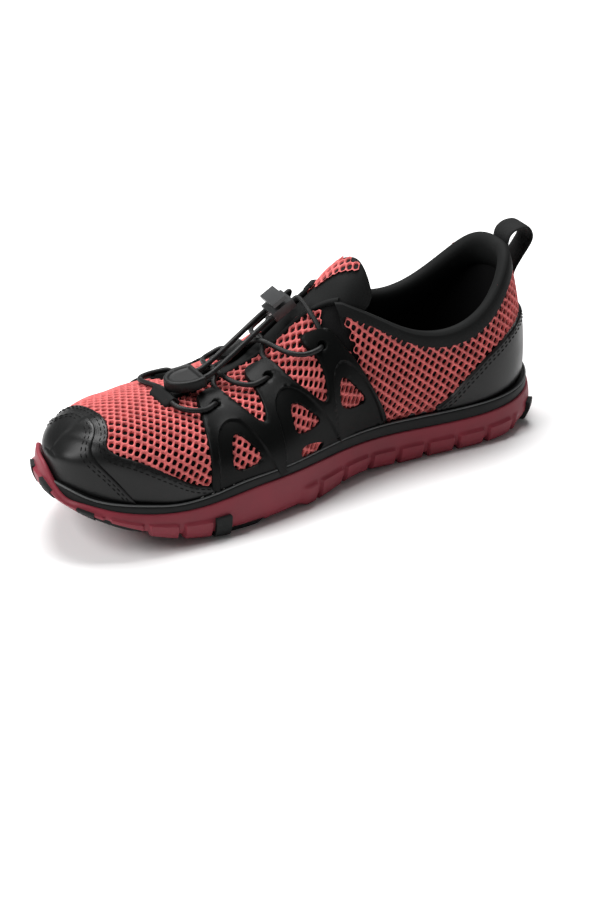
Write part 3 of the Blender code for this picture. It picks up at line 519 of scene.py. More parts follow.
def lug_reach(along, offset):
    """How far the band of edge lugs stands out at a place: 1 on it, 0 where the tread takes over."""
    reach = {}
    for side, zones in LUG_ZONES.items():
        fades = [soft((along - first) / LUG_FADE) * soft((last - along) / LUG_FADE) for first, last in zones]
        reach[side] = np.sum(fades, axis=0)
    return np.clip(np.where(offset > LUG_MIDDLE, reach[MEDIAL], reach[LATERAL]), 0, 1)


def nearest(points, paths):
    return np.min([path_distance(points, path) for path in paths], axis=0)


def slot_distance(points):
    return nearest(points, slots) - SLOT_WIDTH / 2


def rounded_corner(gaps, radius):
    """Distance to the inside of two borders at once, with a round corner where they meet."""
    gaps = gaps + radius
    return np.linalg.norm(np.maximum(gaps, 0), axis=1) + np.minimum(gaps.max(1), 0) - radius


def pad_distance(points):
    """Distance to the edge pads between the slots, with round corners, less than zero inside them."""
    inset = -loop_distance(points, under_edge)
    return rounded_corner(np.stack([inset - LUG_WIDTH, -slot_distance(points)], axis=1), PAD_ROUND)


def tread_distance(points):
    return stroke_distance(points, FOREFOOT_TREAD + HEEL_TREAD, STROKE_BLEND)


holes = []
for rows, diamond in ((HEEL_HOLES, False), (FOREFOOT_HOLES, True)):
    for along, offset, pitch, count, shift in rows:
        holes += [(along + k * shift, offset + k * pitch, diamond) for k in range(count)]


def hole_distance(points):
    """Rounded squares at the heel, rounded diamonds at the forefoot."""
    near = np.full(len(points), 99.0)
    for along, offset, diamond in holes:
        gap = np.abs(points - (along, offset))
        if diamond:
            value = ((gap / HOLE_HALF) ** DIAMOND_POWER).sum(1)
            value = (value ** (1 / DIAMOND_POWER) - 1) * DIAMOND_SIZE
        else:
            value = (gap**SQUARE_POWER).sum(1) ** (1 / SQUARE_POWER) - HOLE_HALF[1]
        near = np.minimum(near, value)
    return near


groove_paths = [bent(path, 80) for path in GROOVES]
mark_paths = [np.array([(along, offset - MARK_HALF), (along, offset + MARK_HALF)]) for along, offset in MARKS]


def mark_distance(points):
    return nearest(points, mark_paths)


def under_distance(points):
    return np.maximum(loop_distance(points, under_edge), -hole_distance(points))


def sole_relief(points):
    """How far the underside stands out below its base."""
    relief = LUG_DEPTH * soft(-pad_distance(points) / PAD_EDGE) * lug_reach(points[:, 0], points[:, 1])
    relief = relief - HOLE_BEVEL * soft(1 - hole_distance(points) / HOLE_BEVEL)
    groove = nearest(points, groove_paths)
    lip = GROOVE_LIP * np.exp(-(((groove - GROOVE_LIP_AT) / LIP_WIDTH) ** 2))
    relief = relief - GROOVE_DEPTH * soft(1 - (groove - GROOVE_FLOOR) / GROOVE_WALL) + lip
    tread = tread_distance(points)
    relief = relief + CHANNEL_LIP * np.exp(-(((tread - CHANNEL_LIP_AT) / LIP_WIDTH) ** 2))
    channel = -CHANNEL_DEPTH * soft(1 - (tread - CHANNEL_GAP) / CHANNEL_WALL)
    relief = np.where(tread < CHANNEL_GAP + CHANNEL_WALL, np.minimum(relief, channel), relief)
    relief = relief + MARK_STAND * soft(1 - (mark_distance(points) - MARK_FLAT) / MARK_WALL) * (tread > 2)
    oval = np.hypot((points[:, 0] - OVAL[0]) / OVAL[1], points[:, 1] / OVAL[2])
    relief = relief - OVAL_DEPTH * np.exp(-(((oval - 1) / 0.06) ** 2))
    return np.minimum(relief, LUG_DEPTH)


sole_frame = [(0, -48), (276, 62)]
relief_rows = level_rows(pad_distance, sole_frame, [0.0, -PAD_EDGE], 1.2)
relief_rows += [row_beside(path, gap) for path in groove_paths for gap in (-1.6, -1, -0.35, 0.35, 1, 1.6)]
channel_levels = [0.0, CHANNEL_GAP, CHANNEL_GAP + CHANNEL_WALL, CHANNEL_LIP_AT, 2.5]
relief_rows += level_rows(tread_distance, sole_frame, channel_levels, 1.3)
relief_rows += level_rows(mark_distance, sole_frame, [MARK_FLAT, MARK_FLAT + MARK_WALL], 1.2)
relief_rows = spread(np.vstack(relief_rows), 0.35)
relief_rows = relief_rows[under_distance(relief_rows) < -0.5]
flat, triangles = sheet(under_distance, sole_frame, 2.6, [0.0, -0.5], 1.0, [under_edge], [relief_rows])
under = place(flat[:, 0], flat[:, 1], tread_line(flat[:, 0]) + LUG_DEPTH - sole_relief(flat))
floor_top = place(flat[:, 0], flat[:, 1], spring(flat[:, 0]) + FLOOR_HEIGHT)
used = {pair for t in triangles.tolist() for pair in zip(t, t[1:] + t[:1])}
hole_walls = []
for a, b in used:
    if (b, a) not in used and np.min(np.abs(hole_distance(flat[[a, b]]))) < 0.3:
        hole_walls.append((b, a, a + len(flat), b + len(flat)))
sole_faces = [tuple(t) for t in triangles.tolist()]
sole_faces += [tuple(i + len(flat) for i in reversed(t)) for t in triangles.tolist()] + hole_walls

wall_inset = curve(WALL_PROFILE[:, 0], WALL_PROFILE[:, 1])
wall_rise = curve(WALL_PROFILE[:, 0], WALL_PROFILE[:, 2])
block = lug_reach(ring[:, 0], ring[:, 1]) * soft(slot_distance(ring) / PAD_EDGE)
edge_relief = sole_relief(under_edge)
guard = soft((ring[:, 1] - GUARD_ENDS[0]) / GUARD_SLOPES[0])
guard = guard * soft((GUARD_ENDS[1] - ring[:, 1]) / GUARD_SLOPES[1]) * (ring[:, 0] > SOLE_LENGTH / 2)
rim_height = sole_curve(RIM[:, 0], RIM[:, 1])(ring[:, 0]) + GUARD_RISE * guard
lean = GUARD_LEAN * soft((rim_height - 30) / 16)
base_height = tread_line(ring[:, 0]) + LUG_DEPTH


def wall_stand(t):
    """How far the lugs stand out of the side wall at a part of it."""
    return LUG_STAND * block * soft((LUG_TOP - t) / LUG_TOP_FADE) * soft((t + 0.05) / 0.15)


wall = []
for t in WALL_ROWS:
    height = base_height + (rim_height - base_height) * wall_rise(t) - edge_relief * soft(1 - t / 0.3)
    wall.append(ring_row(wall_inset(t) - wall_stand(t) + lean * t**5, height))
for inset, drop in RIM_PROFILE:
    wall.append(ring_row(inset + lean, rim_height - drop))
wall.append(ring_row(SOLE_INSET, spring(under_edge[:, 0]) + FLOOR_HEIGHT))
wall[0] = place(under_edge[:, 0], under_edge[:, 1], tread_line(under_edge[:, 0]) + LUG_DEPTH - edge_relief)
wall_faces = net(len(wall), RING, round_columns=True)
sole_parts = [(np.vstack([under, floor_top]), sole_faces), (np.vstack(wall), wall_faces)]
red_rubber = surface("red_rubber", RUBBER_RED, 0.5, 0.5, 0.05, tone=0.1, specular=0.25)
outsole = solid("outsole_rubber", *joined(sole_parts), red_rubber)
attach(outsole, "shoe")
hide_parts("outsole")

# Tread: black rubber branches under the forefoot and the heel, with a fine grain.
# They are moulded first and vulcanised into channels of the outsole, and some wrap over its edge.
TREAD_BLACK = (0.012, 0.0135, 0.0135)
# Wraps over the edge: part of the side wall where they start and end, and their stand off it
WRAP_REACH = (-0.06, 0.6)
WRAP_STAND = 0.6
# Part of the wall up to which they clear the lugs, and inset under the sole for each part below the wall
WRAP_SHOULDER = 0.68
WRAP_UNDER = 40.0
WRAP_THICK = 2.0
WRAP_ROWS = 9
# A branch this close to the edge wraps over it
WRAP_NEAR = 2.5
# Rounding of a branch's edge, and how far it goes into the outsole
TREAD_ROUND = 0.9
TREAD_ROOT = 0.8
black_rubber = surface("black_rubber", TREAD_BLACK, 0.7, 0.7, 0.12, specular=0.2)


def branch_distance(points, strokes):
    return np.maximum(stroke_distance(points, strokes, STROKE_BLEND), loop_distance(points, under_edge))


def wrap_over_edge(spots):
    """Rows of points from the underside up the side wall, a little outside it."""
    rows = []
    for t in np.linspace(*WRAP_REACH, WRAP_ROWS):
        if t < 0:
            inset = SOLE_INSET - WRAP_UNDER * t
            rise = 0.0
        else:
            inset = wall_inset(t) - LUG_STAND * soft((WRAP_SHOULDER - t) / LUG_TOP_FADE)
            rise = wall_rise(t)
        spot = ring[spots] - (inset - WRAP_STAND * soft((t - WRAP_REACH[0]) / 0.12)) * ring_out[spots]
        height = base_height[spots] + (rim_height - base_height)[spots] * rise
        height = height - LUG_DEPTH * 0.95 * soft(1 - t / 0.25)
        rows.append(place(spot[:, 0], spot[:, 1], height))
    return rows


for name, strokes in (("tread_forefoot", FOREFOOT_TREAD), ("tread_heel", HEEL_TREAD)):
    levels = [0.0, -0.25, -0.8]
    flat, triangles = sheet(lambda points: branch_distance(points, strokes), sole_frame, 2.5, levels, 1.0)
    rounding = soft(np.clip(-branch_distance(flat, strokes) / 0.8, 0, 1) ** 0.6)
    low = place(flat[:, 0], flat[:, 1], tread_line(flat[:, 0]) + TREAD_ROUND - TREAD_ROUND * rounding)
    high = place(flat[:, 0], flat[:, 1], tread_line(flat[:, 0]) + LUG_DEPTH + TREAD_ROOT)
    parts = [closed(low, high, triangles)]
    for width, path in strokes:
        if loop_distance(np.array([path[-1]], float), under_edge)[0] > -WRAP_NEAR:
            middle = np.argmin(np.linalg.norm(under_edge - path[-1], axis=1))
            count = int(width / 2 + 1)
            spots = np.arange(middle - count, middle + count + 1) % RING
            rows = wrap_over_edge(spots)
            inward = np.concatenate([ring_out[spots], np.zeros((len(spots), 1))], axis=1) * WRAP_THICK
            inner = np.vstack([row - inward for row in rows])
            parts.append(closed(np.vstack(rows), inner, net(len(rows), len(spots))))
    tread = solid(f"{name}_rubber", *joined(parts), black_rubber)
    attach(tread, "shoe")
    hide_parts(name)

# Insole: a pale board with small perforations that shows through the drain holes, and the dark sock on it.
# The board is die cut and lies loose inside the band; painted shade darkens it under the heel. The sock is
# glued on its top.
BOARD_GREY = (0.42, 0.42, 0.41)
SOCK_BLACK = (0.012, 0.012, 0.013)
BOARD_INSET = 9.4
BOARD_THICK = 3.5
BOARD_GAP = 0.3
PERFORATION = 4.2
# Along where the painted shade under the heel ends, half the width of that change, and the tone of the
# painted shade
SHADE_END = 122.0
SHADE_FADE = 3.0
SHADE_TONE = 0.03
SOCK_THICK = 1.2
SOCK_DISH = 2.5
board_edge = ring - BOARD_INSET * ring_out


def board_distance(points):
    return loop_distance(points, board_edge[::4])


flat, triangles = sheet(board_distance, sole_frame, 6, [0.0, -0.6], 2.5)
low = place(flat[:, 0], flat[:, 1], spring(flat[:, 0]) + FLOOR_HEIGHT + BOARD_GAP)
pale_board = surface("pale_board", BOARD_GREY, 0.8, 0.6, 0.05)
tree = pale_board.node_tree
link = tree.links.new
where = tree.nodes.new("ShaderNodeTexCoord").outputs["Object"]
cells = tree.nodes.new("ShaderNodeTexVoronoi")
cells.voronoi_dimensions = "2D"
cells.inputs["Scale"].default_value = 1 / (PERFORATION * MM)
cells.inputs["Randomness"].default_value = 0.0
link(where, cells.inputs["Vector"])
dots = ranged(tree, cells.outputs["Distance"], 0.24, 0.3, 0.05, 1.0)
apart = tree.nodes.new("ShaderNodeSeparateXYZ")
link(where, apart.inputs["Vector"])
# Painted shade: the board's colour is darkened from its pale forefoot back to the heel, and is multiplied
# with the perforation dots
shade_reach = [(SHADE_END + gap - ORIGIN[0]) * MM for gap in (-SHADE_FADE, SHADE_FADE)]
front = ranged(tree, apart.outputs["X"], *shade_reach, SHADE_TONE, 1.0)
dots_and_shade = tree.nodes.new("ShaderNodeMath")
dots_and_shade.operation = "MULTIPLY"
link(dots, dots_and_shade.inputs[0])
link(front, dots_and_shade.inputs[1])
shaded_colour = tree.nodes.new("ShaderNodeVectorMath")
shaded_colour.operation = "SCALE"
base_colour = tree.nodes["Principled BSDF"].inputs["Base Color"]
link(base_colour.links[0].from_socket, shaded_colour.inputs["Vector"])
link(dots_and_shade.outputs["Value"], shaded_colour.inputs["Scale"])
link(shaded_colour.outputs["Vector"], base_colour)
board = solid("insole_board", *closed(low, low + (0, 0, BOARD_THICK), triangles), pale_board)
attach(board, "shoe")
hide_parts("insole")
dish = SOCK_DISH * soft(1 + board_distance(flat) / 14)
sock_look = surface("sock_cloth", SOCK_BLACK, 0.9, 0.8, 0.1, specular=0.2)
sock_low = low + (0, 0, BOARD_THICK + 0.1)
sock_top = sock_low + np.stack([0 * dish, 0 * dish, SOCK_THICK + dish], axis=1)
sock = solid("insole_sock", *closed(sock_low, sock_top, triangles), sock_look)
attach(sock, "shoe")

# Band round the lower edge of the upper: smooth black foam with light stitches on it, and a thin grey tube
# along its top edge that is a painted highlight.
# It is stuck inside the rim of the outsole and closes the joint between rubber and upper.
FOAM_BLACK = (0.007, 0.0075, 0.0075)
EDGE_HIGHLIGHT_GREY = (0.07, 0.073, 0.073)
THREAD_GREY = (0.25, 0.25, 0.24)
THREAD_REACH = (120.0, 216.0)
# Stitches of the band: length, gap, radius
BAND_STITCH = (1.6, 4.0, 0.24)
HIGHLIGHT_RADIUS = 0.5
HIGHLIGHT_INSET = 2.2
# Along, height of the band's top over the floor
BAND = np.array(
    [(0, 26), (45, 22), (75, 22.3), (110, 24), (145, 25.5), (170, 25.8), (190, 25), (200, 23.4)]
    + [(211, 22.2), (222, 22.1), (235, 23.9), (250, 26.3), (262, 29), (270, 32.5), (275, 34)]
)
# Its face and top, from the rim inwards: inset, part of its height, rise over that. Then its foot's insets
BAND_PROFILE = [
    (1.8, 0, 0),
    (1.75, 0.3, 0),
    (1.7, 0.6, 0),
    (1.75, 0.85, 0),
    (2.0, 0.97, 0),
    (2.6, 1, 0.1),
    (5.0, 1, 0.2),
    (8.6, 1, -0.3),
]
BAND_FOOT = (8.6, 3.6)
band_top = sole_curve(BAND[:, 0], BAND[:, 1])(ring[:, 0])
band_foot = np.minimum(rim_height - 1.5, band_top - 2)
band_under = np.minimum(spring(ring[:, 0]) + FLOOR_HEIGHT + BOARD_GAP, band_foot - 1)
band_rows = []
for inset, part, rise in BAND_PROFILE:
    band_rows.append(ring_row(inset, band_foot + (band_top - band_foot) * part + rise))
band_rows += [ring_row(inset, band_under) for inset in BAND_FOOT]
black_foam = surface("black_foam", FOAM_BLACK, 0.5, 0.6, 0.05, specular=0.15)
band_faces = net(len(band_rows), RING, round_rows=True, round_columns=True)
band = solid("midsole_band", np.vstack(band_rows), band_faces, black_foam)
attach(band, "shoe")
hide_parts("midsole")


def tube(path, radius, sides=10, loop=False):
    """Points and faces of a round tube along a path in millimetres."""
    path = np.asarray(path, float)
    if loop:
        ahead = np.roll(path, -1, axis=0) - np.roll(path, 1, axis=0)
    else:
        ahead = np.gradient(path, axis=0)
    ahead = ahead / np.linalg.norm(ahead, axis=1)[:, None]
    aside = np.cross(ahead[0], (0.3, 0.2, 1.0))
    points = []
    for spot, forward in zip(path, ahead):
        aside = aside - forward * aside.dot(forward)
        aside = aside / np.linalg.norm(aside)
        across = np.cross(forward, aside)
        for k in range(sides):
            angle = 2 * math.pi * k / sides
            points.append(spot + radius * (math.cos(angle) * aside + math.sin(angle) * across))
    faces = net(len(path), sides, round_rows=loop, round_columns=True)
    if not loop:
        last = len(points) - sides
        faces += [tuple(range(sides)), tuple(range(last, last + sides))]
    return np.array(points), faces


def stitches(rows, outward, length, gap, radius):
    """Points and faces of short threads along rows of points, each sunk at both ends."""
    ends = np.array([-0.5, -0.42, -0.2, 0.2, 0.42, 0.5])
    thick = np.array([0.3, 0.8, 1, 1, 0.8, 0.3]) * radius
    sink = np.array([-1.2, -0.3, 0.2, 0.2, -0.3, -1.2]) * radius
    sides = 6
    angles = np.arange(sides) * 2 * math.pi / sides
    last = (len(ends) - 1) * sides
    faces = net(len(ends), sides, round_columns=True)
    faces += [tuple(range(sides)), tuple(range(last, last + sides))]
    threads = []
    for row, normal in zip(rows, outward):
        lengths = np.concatenate([[0], np.cumsum(np.linalg.norm(np.diff(row, axis=0), axis=1))])
        for middle in np.arange(length, lengths[-1] - length, length + gap):
            at = middle + ends * length
            spine = np.stack([np.interp(at, lengths, column) for column in row.T], axis=-1)
            out = np.array([np.interp(middle, lengths, column) for column in normal.T])
            out = out / np.linalg.norm(out)
            aside = np.cross(spine[-1] - spine[0], out)
            aside = aside / np.linalg.norm(aside)
            spine = spine + sink[:, None] * out
            ringlet = np.cos(angles)[:, None] * aside + np.sin(angles)[:, None] * out
            threads.append(((spine[:, None] + thick[:, None, None] * ringlet).reshape(-1, 3), faces))
    return joined(threads)


# Painted highlight: a thin grey tube along the band's top edge stands for the light caught by that edge
highlight_path = ring_row(HIGHLIGHT_INSET, band_top + 0.3)
highlight_look = surface("band_highlight_grey", EDGE_HIGHLIGHT_GREY, 0.55, 0.4, 0.03)
band_highlight = solid("band_edge_highlight", *tube(highlight_path[::2], HIGHLIGHT_RADIUS, 8, loop=True), highlight_look)
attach(band_highlight, "shoe")
thread_look = surface("grey_thread", THREAD_GREY, 0.8, 0.3, 0.05)
ring_normal = np.concatenate([ring_out, np.full((RING, 1), 0.6)], axis=1)
thread_path = ring_row(HIGHLIGHT_INSET + 0.7, band_top + 0.8)
thread_spots = (ring[:, 0] > THREAD_REACH[0]) & (ring[:, 0] < THREAD_REACH[1])
thread_sides = [thread_spots & (ring_side == side) for side in (MEDIAL, LATERAL)]
thread_rows = [[rows[spots] for spots in thread_sides] for rows in (thread_path, ring_normal)]
band_thread = solid("band_stitches", *stitches(*thread_rows, *BAND_STITCH), thread_look)
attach(band_thread, "shoe")

# Lining of the upper: a black backing cloth, open at the collar and the throat.
# It is cut and sewn together with the air mesh and lasted to the shape of the foot.
LINING_BLACK = (0.004, 0.004, 0.0042)
RIBS = 361
RIB = 161
UPPER_HEEL = 5.0
UPPER_TOE = 269.5
UPPER_LENGTH = UPPER_TOE - UPPER_HEEL
# How much of the sole's spring the upper follows, and along, height of its lower edge over that
UPPER_SPRING = 0.79
RIDGE_SPRING = 0.6
# Inset of the lower edge, and half the width at which the insets are full
FOOT_INSET = 6.0
FULL_HALF = 25.0
# Heights at which the skin is looked up
TALL_STEP = 0.5
TALLEST = 116.0
# Lift of the cloth's outer and inner face
LINING_LIFTS = (-0.9, -2.2)
LINING_COLUMNS = 32
FEATHER = np.array(
    [(5, 22), (60, 22), (110, 22.5), (150, 20.5), (185, 16), (215, 13.5), (245, 13), (269.5, 13.5)]
)
# Along, ridge height, widest height, inset at the widest, fullness medial and lateral, offset of the ridge
SECTION = np.array(
    [
        (5, 36, 30, 3, 2.2, 2.2, 0),
        (8, 62, 32, 3, 2.2, 2.2, 0),
        (14, 90, 34, 3.5, 2.2, 2.2, 0),
        (30, 106, 34, 4, 2.2, 2.2, 0),
        (65, 110, 34, 4, 2.1, 2.1, 1),
        (95, 102, 33, 3.5, 2, 2, 3),
        (115, 91, 32, 3.5, 1.9, 1.9, 6),
        (135, 77, 31, 3.5, 1.9, 1.85, 8),
        (150, 67, 31, 3.5, 1.9, 1.8, 10),
        (180, 57.5, 30, 4, 2, 1.8, 13),
        (210, 56.5, 30, 4, 2.2, 1.85, 17),
        (235, 55, 30, 4, 2.3, 1.95, 20),
        (252, 50, 30, 4, 2.4, 2.1, 21),
        (264, 41, 28, 4, 2.4, 2.2, 21),
        (269.5, 29, 25, 4, 2.3, 2.3, 20),
    ]
)
# Along, height of the collar over the floor, and along, distance of the throat's two edges from the ridge
COLLAR = np.array([(5, 92), (16, 92), (28, 81), (45, 68), (65, 64), (85, 70), (102, 80), (114, 86)])
THROAT = {
    MEDIAL: np.array(
        [(114, 10.5), (120, 6), (127, 2.4), (135, -0.4), (143, -0.8), (153, -2.4), (165, -4.6), (178, -4)]
        + [(192, -1), (203, 1.6), (207, 1.2), (209, 0)]
    ),
    LATERAL: np.array([(114, 14), (121, 16), (135, 17), (150, 17), (180, 15), (195, 13), (204, 8), (209, 0)]),
}
# Soft dents and swells of the worn-in shape: side, along, up, angle, length, width, depth
CREASES = [
    (MEDIAL, 236, 48, 20, 16, 9, 0.9),
    (MEDIAL, 222, 40, 60, 20, 7, -0.8),
    (MEDIAL, 205, 34, 80, 18, 6, 0.7),
    (MEDIAL, 255, 38, 10, 9, 5, -0.7),
    (MEDIAL, 262, 22, 70, 10, 5, -0.5),
    (MEDIAL, 245, 14, 30, 14, 5, -0.6),
    (MEDIAL, 70, 30, 10, 24, 9, -0.8),
    (LATERAL, 225, 40, 60, 20, 8, -0.8),
    (LATERAL, 180, 30, 75, 20, 8, -0.7),
    (LATERAL, 75, 30, 10, 26, 9, -0.8),
]

feather = curve(FEATHER[:, 0], FEATHER[:, 1])
collar_curve = curve(COLLAR[:, 0], COLLAR[:, 1])
section_knots = round_ends(SECTION[:, 0], UPPER_HEEL, UPPER_LENGTH)
section = [curve(section_knots, column) for column in SECTION[:, 1:].T]
rib_turn = np.linspace(0, 1, RIBS)
rib_along = UPPER_HEEL + UPPER_LENGTH * (1 - np.cos(math.pi * rib_turn)) / 2
tall_steps = np.arange(0, TALLEST, TALL_STEP)
skin = {}
skin_out = {}
girths = {}
part_at_height = {}
for side in (MEDIAL, LATERAL):
    ridge, widest, inset, medial_full, lateral_full, ridge_offset = [c(rib_turn)[:, None] for c in section]
    heel_part = np.where(rib_along < SOLE_LENGTH / 2, 1.0, UPPER_SPRING)
    lifted = (heel_part * spring(rib_along))[:, None]
    foot = feather(rib_along)[:, None] + lifted
    widest = np.maximum(widest + lifted, foot + 0.5)
    ridge = np.maximum(ridge + RIDGE_SPRING * lifted, widest + 0.5)
    power = 2 / (medial_full if side == MEDIAL else lateral_full)
    edge_place = (rib_along - UPPER_HEEL) / UPPER_LENGTH * SOLE_LENGTH
    half = np.maximum(side * (edge(edge_place, side)[:, None] - ridge_offset), 0)
    fade = np.minimum(1, half / FULL_HALF)
    half_widest = np.maximum(half - inset * fade, 0)
    half_foot = np.maximum(half - FOOT_INSET * fade, 0)
    low = np.linspace(0, math.pi / 2, 40)
    high = np.linspace(0, math.pi / 2, 200)[1:]
    across = np.hstack(
        [
            half_foot + (half_widest - half_foot) * np.sin(low),
            half_widest * np.cos(high).clip(0) ** power,
        ]
    )
    tall = np.hstack(
        [
            foot + (widest - foot) * (1 - np.cos(low)),
            widest + (ridge - widest) * np.sin(high) ** power,
        ]
    )
    steps = np.hypot(np.diff(across, axis=1), np.diff(tall, axis=1))
    reach = np.hstack([np.zeros((RIBS, 1)), np.cumsum(steps, axis=1)])
    girths[side] = reach[:, -1]
    parts = np.linspace(0, 1, RIB)
    offsets = np.stack([np.interp(parts * r[-1], r, row) for r, row in zip(reach, across)])
    heights = np.stack([np.interp(parts * r[-1], r, row) for r, row in zip(reach, tall)])
    skin[side] = place(rib_along[:, None], ridge_offset + side * offsets, heights)
    normal = side * np.cross(np.gradient(skin[side], axis=1), np.gradient(skin[side], axis=0))
    normal[:, -1, 1] = 0
    skin_out[side] = normal / np.maximum(np.linalg.norm(normal, axis=2), 1e-9)[..., None]
    part_at_height[side] = np.stack([np.interp(tall_steps, row, parts) for row in heights])


def read_grid(grid, row, column):
    """Value between the points of a grid."""
    i = np.clip(row.astype(int), 0, grid.shape[0] - 2)
    j = np.clip(column.astype(int), 0, grid.shape[1] - 2)
    a = np.reshape(row - i, row.shape + (1,) * (grid.ndim - 2))
    b = np.reshape(column - j, row.shape + (1,) * (grid.ndim - 2))
    near = grid[i, j] * (1 - b) + grid[i, j + 1] * b
    far = grid[i + 1, j] * (1 - b) + grid[i + 1, j + 1] * b
    return near * (1 - a) + far * a


def rib_row(along):
    return round_ends(along, UPPER_HEEL, UPPER_LENGTH) * (RIBS - 1)


def girth(along, side):
    """Skin length of a rib from the lower edge to the ridge."""
    return np.interp(rib_row(along), np.arange(RIBS), girths[side])


def crease_lift(along, up, side):
    total = np.zeros(np.shape(along))
    for hand, a, u, angle, length, width, depth in CREASES:
        c, s = math.cos(math.radians(angle)), math.sin(math.radians(angle))
        lengthwise = (along - a) * c + (up - u) * s
        across = (up - u) * c - (along - a) * s
        total = total + (side == hand) * depth * np.exp(-((across / width) ** 2) - (lengthwise / length) ** 2)
    return total


def on_skin(along, up, side, lift=0.0):
    """Points that stand off the last by a lift. Side is one hand for all of them."""
    along, up, lift = np.broadcast_arrays(np.asarray(along, float), up, lift)
    row = rib_row(along)
    column = np.clip(up / girth(along, side), 0, 1) * (RIB - 1)
    out = read_grid(skin_out[side], row, column)
    out = out / np.linalg.norm(out, axis=-1)[..., None]
    return read_grid(skin[side], row, column) + out * (lift + crease_lift(along, up, side))[..., None]


def over_ridge(flat, lift):
    """Points of the skin by along and distance from the ridge, medial above zero."""
    points = np.empty((len(flat), 3))
    lift = np.broadcast_to(lift, (len(flat),))
    for side in (MEDIAL, LATERAL):
        here = (flat[:, 1] >= 0) == (side == MEDIAL)
        along = flat[here, 0]
        points[here] = on_skin(along, girth(along, side) - np.abs(flat[here, 1]), side, lift[here])
    return points


def up_at_height(along, height, side):
    """Skin distance at which a rib reaches a height over the floor."""
    part = read_grid(part_at_height[side], rib_row(along), np.asarray(height, float) / TALL_STEP)
    return part * girth(along, side)


def collar_top(along):
    return collar_curve(np.clip(along, COLLAR[0, 0], COLLAR[-1, 0]))


def opening_edge(along, side):
    """Skin distance at which the upper ends: the collar behind, the throat in front, else the ridge."""
    collar = up_at_height(along, collar_top(along), side)
    throat = girth(along, side) - np.interp(along, *THROAT[side].T)
    return np.where(along <= COLLAR[-1, 0], collar, throat)


lining_parts = []
for side in (MEDIAL, LATERAL):
    along = np.repeat(rib_along[::3, None], LINING_COLUMNS, axis=1)
    up = np.linspace(0, 1, LINING_COLUMNS) * opening_edge(along, side)
    cloth_sides = [on_skin(along, up, side, lift).reshape(-1, 3) for lift in LINING_LIFTS]
    lining_parts.append(closed(*cloth_sides, net(*along.shape)))
lining_look = surface("lining_cloth", LINING_BLACK, 0.95, 0.9, 0.15, specular=0.15)
lining = solid("upper_lining", *joined(lining_parts), lining_look)
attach(lining, "shoe")
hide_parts("upper")

# Air mesh: coarse coral knit with slanted oval holes, over the black backing.
# One cut covers the vamp and both sides, another goes round the heel, and the overlays cover their joints.
CORAL = (0.575, 0.125, 0.121)
KNIT = np.array([(4.25, 1.5), (1.75, 3.75)])
# Border of a cell, from its rim down into the hole: part of its size, lift
KNIT_RINGS = [(1.0, 0.5), (0.84, 0.45), (0.66, 0.0), (0.62, -0.9)]
# Distance of the cells from the lower edge, the throat, its base along, and the collar
KNIT_FOOT = 1.5
KNIT_THROAT = 1.2
THROAT_BASE = 211.0
KNIT_COLLAR = 2.0
# Joint between the two cuts: up, along
JOINT = np.array([(0, 99), (38, 114), (48, 121), (56, 125), (90, 126)])
TOE_END = 252.0
# Eyelets are punched through the overlay and the mesh: along, up
EYELETS = [(189, 51.5), (158.2, 52.3), (129.4, 52.3)]
EYELET_CLEAR = 5.0


def knit_cell(steps):
    """Border of one cell of the knit: its six corners and the middles between them."""
    first, second = steps
    around_cell = np.array([first, second, second - first, -first, -second, first - second])
    around_cell = around_cell[np.argsort(np.arctan2(around_cell[:, 1], around_cell[:, 0]))]
    corners = []
    for a, b in zip(around_cell, np.roll(around_cell, -1, axis=0)):
        corners.append(np.linalg.solve(2 * np.array([a, b]), [a.dot(a), b.dot(b)]))
    corners = np.array(corners)
    return np.stack([corners, (corners + np.roll(corners, -1, axis=0)) / 2], axis=1).reshape(-1, 2)


def knit_centres(steps, box):
    low, high = np.array(box, float)
    spans = np.arange(-90, 91)
    spots = spans[:, None, None] * steps[0] + spans[None, :, None] * steps[1] + (low + high) / 2
    spots = spots.reshape(-1, 2)
    return spots[np.all((spots > low) & (spots < high), axis=1)]


def knit(centres, steps, where, base=0.0):
    """Points and faces of a knit: each cell is a raised border that rounds down into its hole."""
    border = knit_cell(steps)
    radius = np.linalg.norm(border, axis=1)[:, None]
    rounded = border / radius * (0.55 * radius + 0.45 * radius.mean())
    rings = []
    for size, lift in KNIT_RINGS:
        part = soft((1 - size) / 0.4)
        shape = (border * (1 - part) + rounded * part) * size
        spots = (centres[:, None] + shape).reshape(-1, 2)
        rings.append(where(spots, base + lift).reshape(len(centres), len(border), 3))
    points = np.stack(rings, axis=1).reshape(-1, 3)
    cell = np.array(net(len(rings), len(border), round_columns=True))
    count = len(rings) * len(border)
    faces = (cell + count * np.arange(len(centres))[:, None, None]).reshape(-1, 4)
    return points, faces.tolist()


def clear_of_eyelets(along, up):
    return np.min([np.hypot(along - a, up - u) for a, u in EYELETS], axis=0) > EYELET_CLEAR


coral_mesh = surface("coral_mesh", CORAL, 0.75, 0.6, 0.15, tone=0.3, specular=0.2, sheen=0.05, patch=3)
spots = knit_centres(KNIT, [(90, -110), (TOE_END, 110)])
spot_side = np.where(spots[:, 1] >= 0, MEDIAL, LATERAL)
spot_girth = np.where(spot_side == MEDIAL, girth(spots[:, 0], MEDIAL), girth(spots[:, 0], LATERAL))
spot_up = spot_girth - np.abs(spots[:, 1])
in_throat = spots[:, 0] < THROAT_BASE
for side in (MEDIAL, LATERAL):
    in_throat &= side * spots[:, 1] < np.interp(spots[:, 0], *THROAT[side].T) + KNIT_THROAT
keep = (spot_up > KNIT_FOOT) & ~in_throat & (spots[:, 0] > np.interp(spot_up, *JOINT.T))
keep &= clear_of_eyelets(spots[:, 0], spot_up)
vamp = solid("mesh_vamp", *knit(spots[keep], KNIT, over_ridge), coral_mesh, sharp=80)
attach(vamp, "shoe")

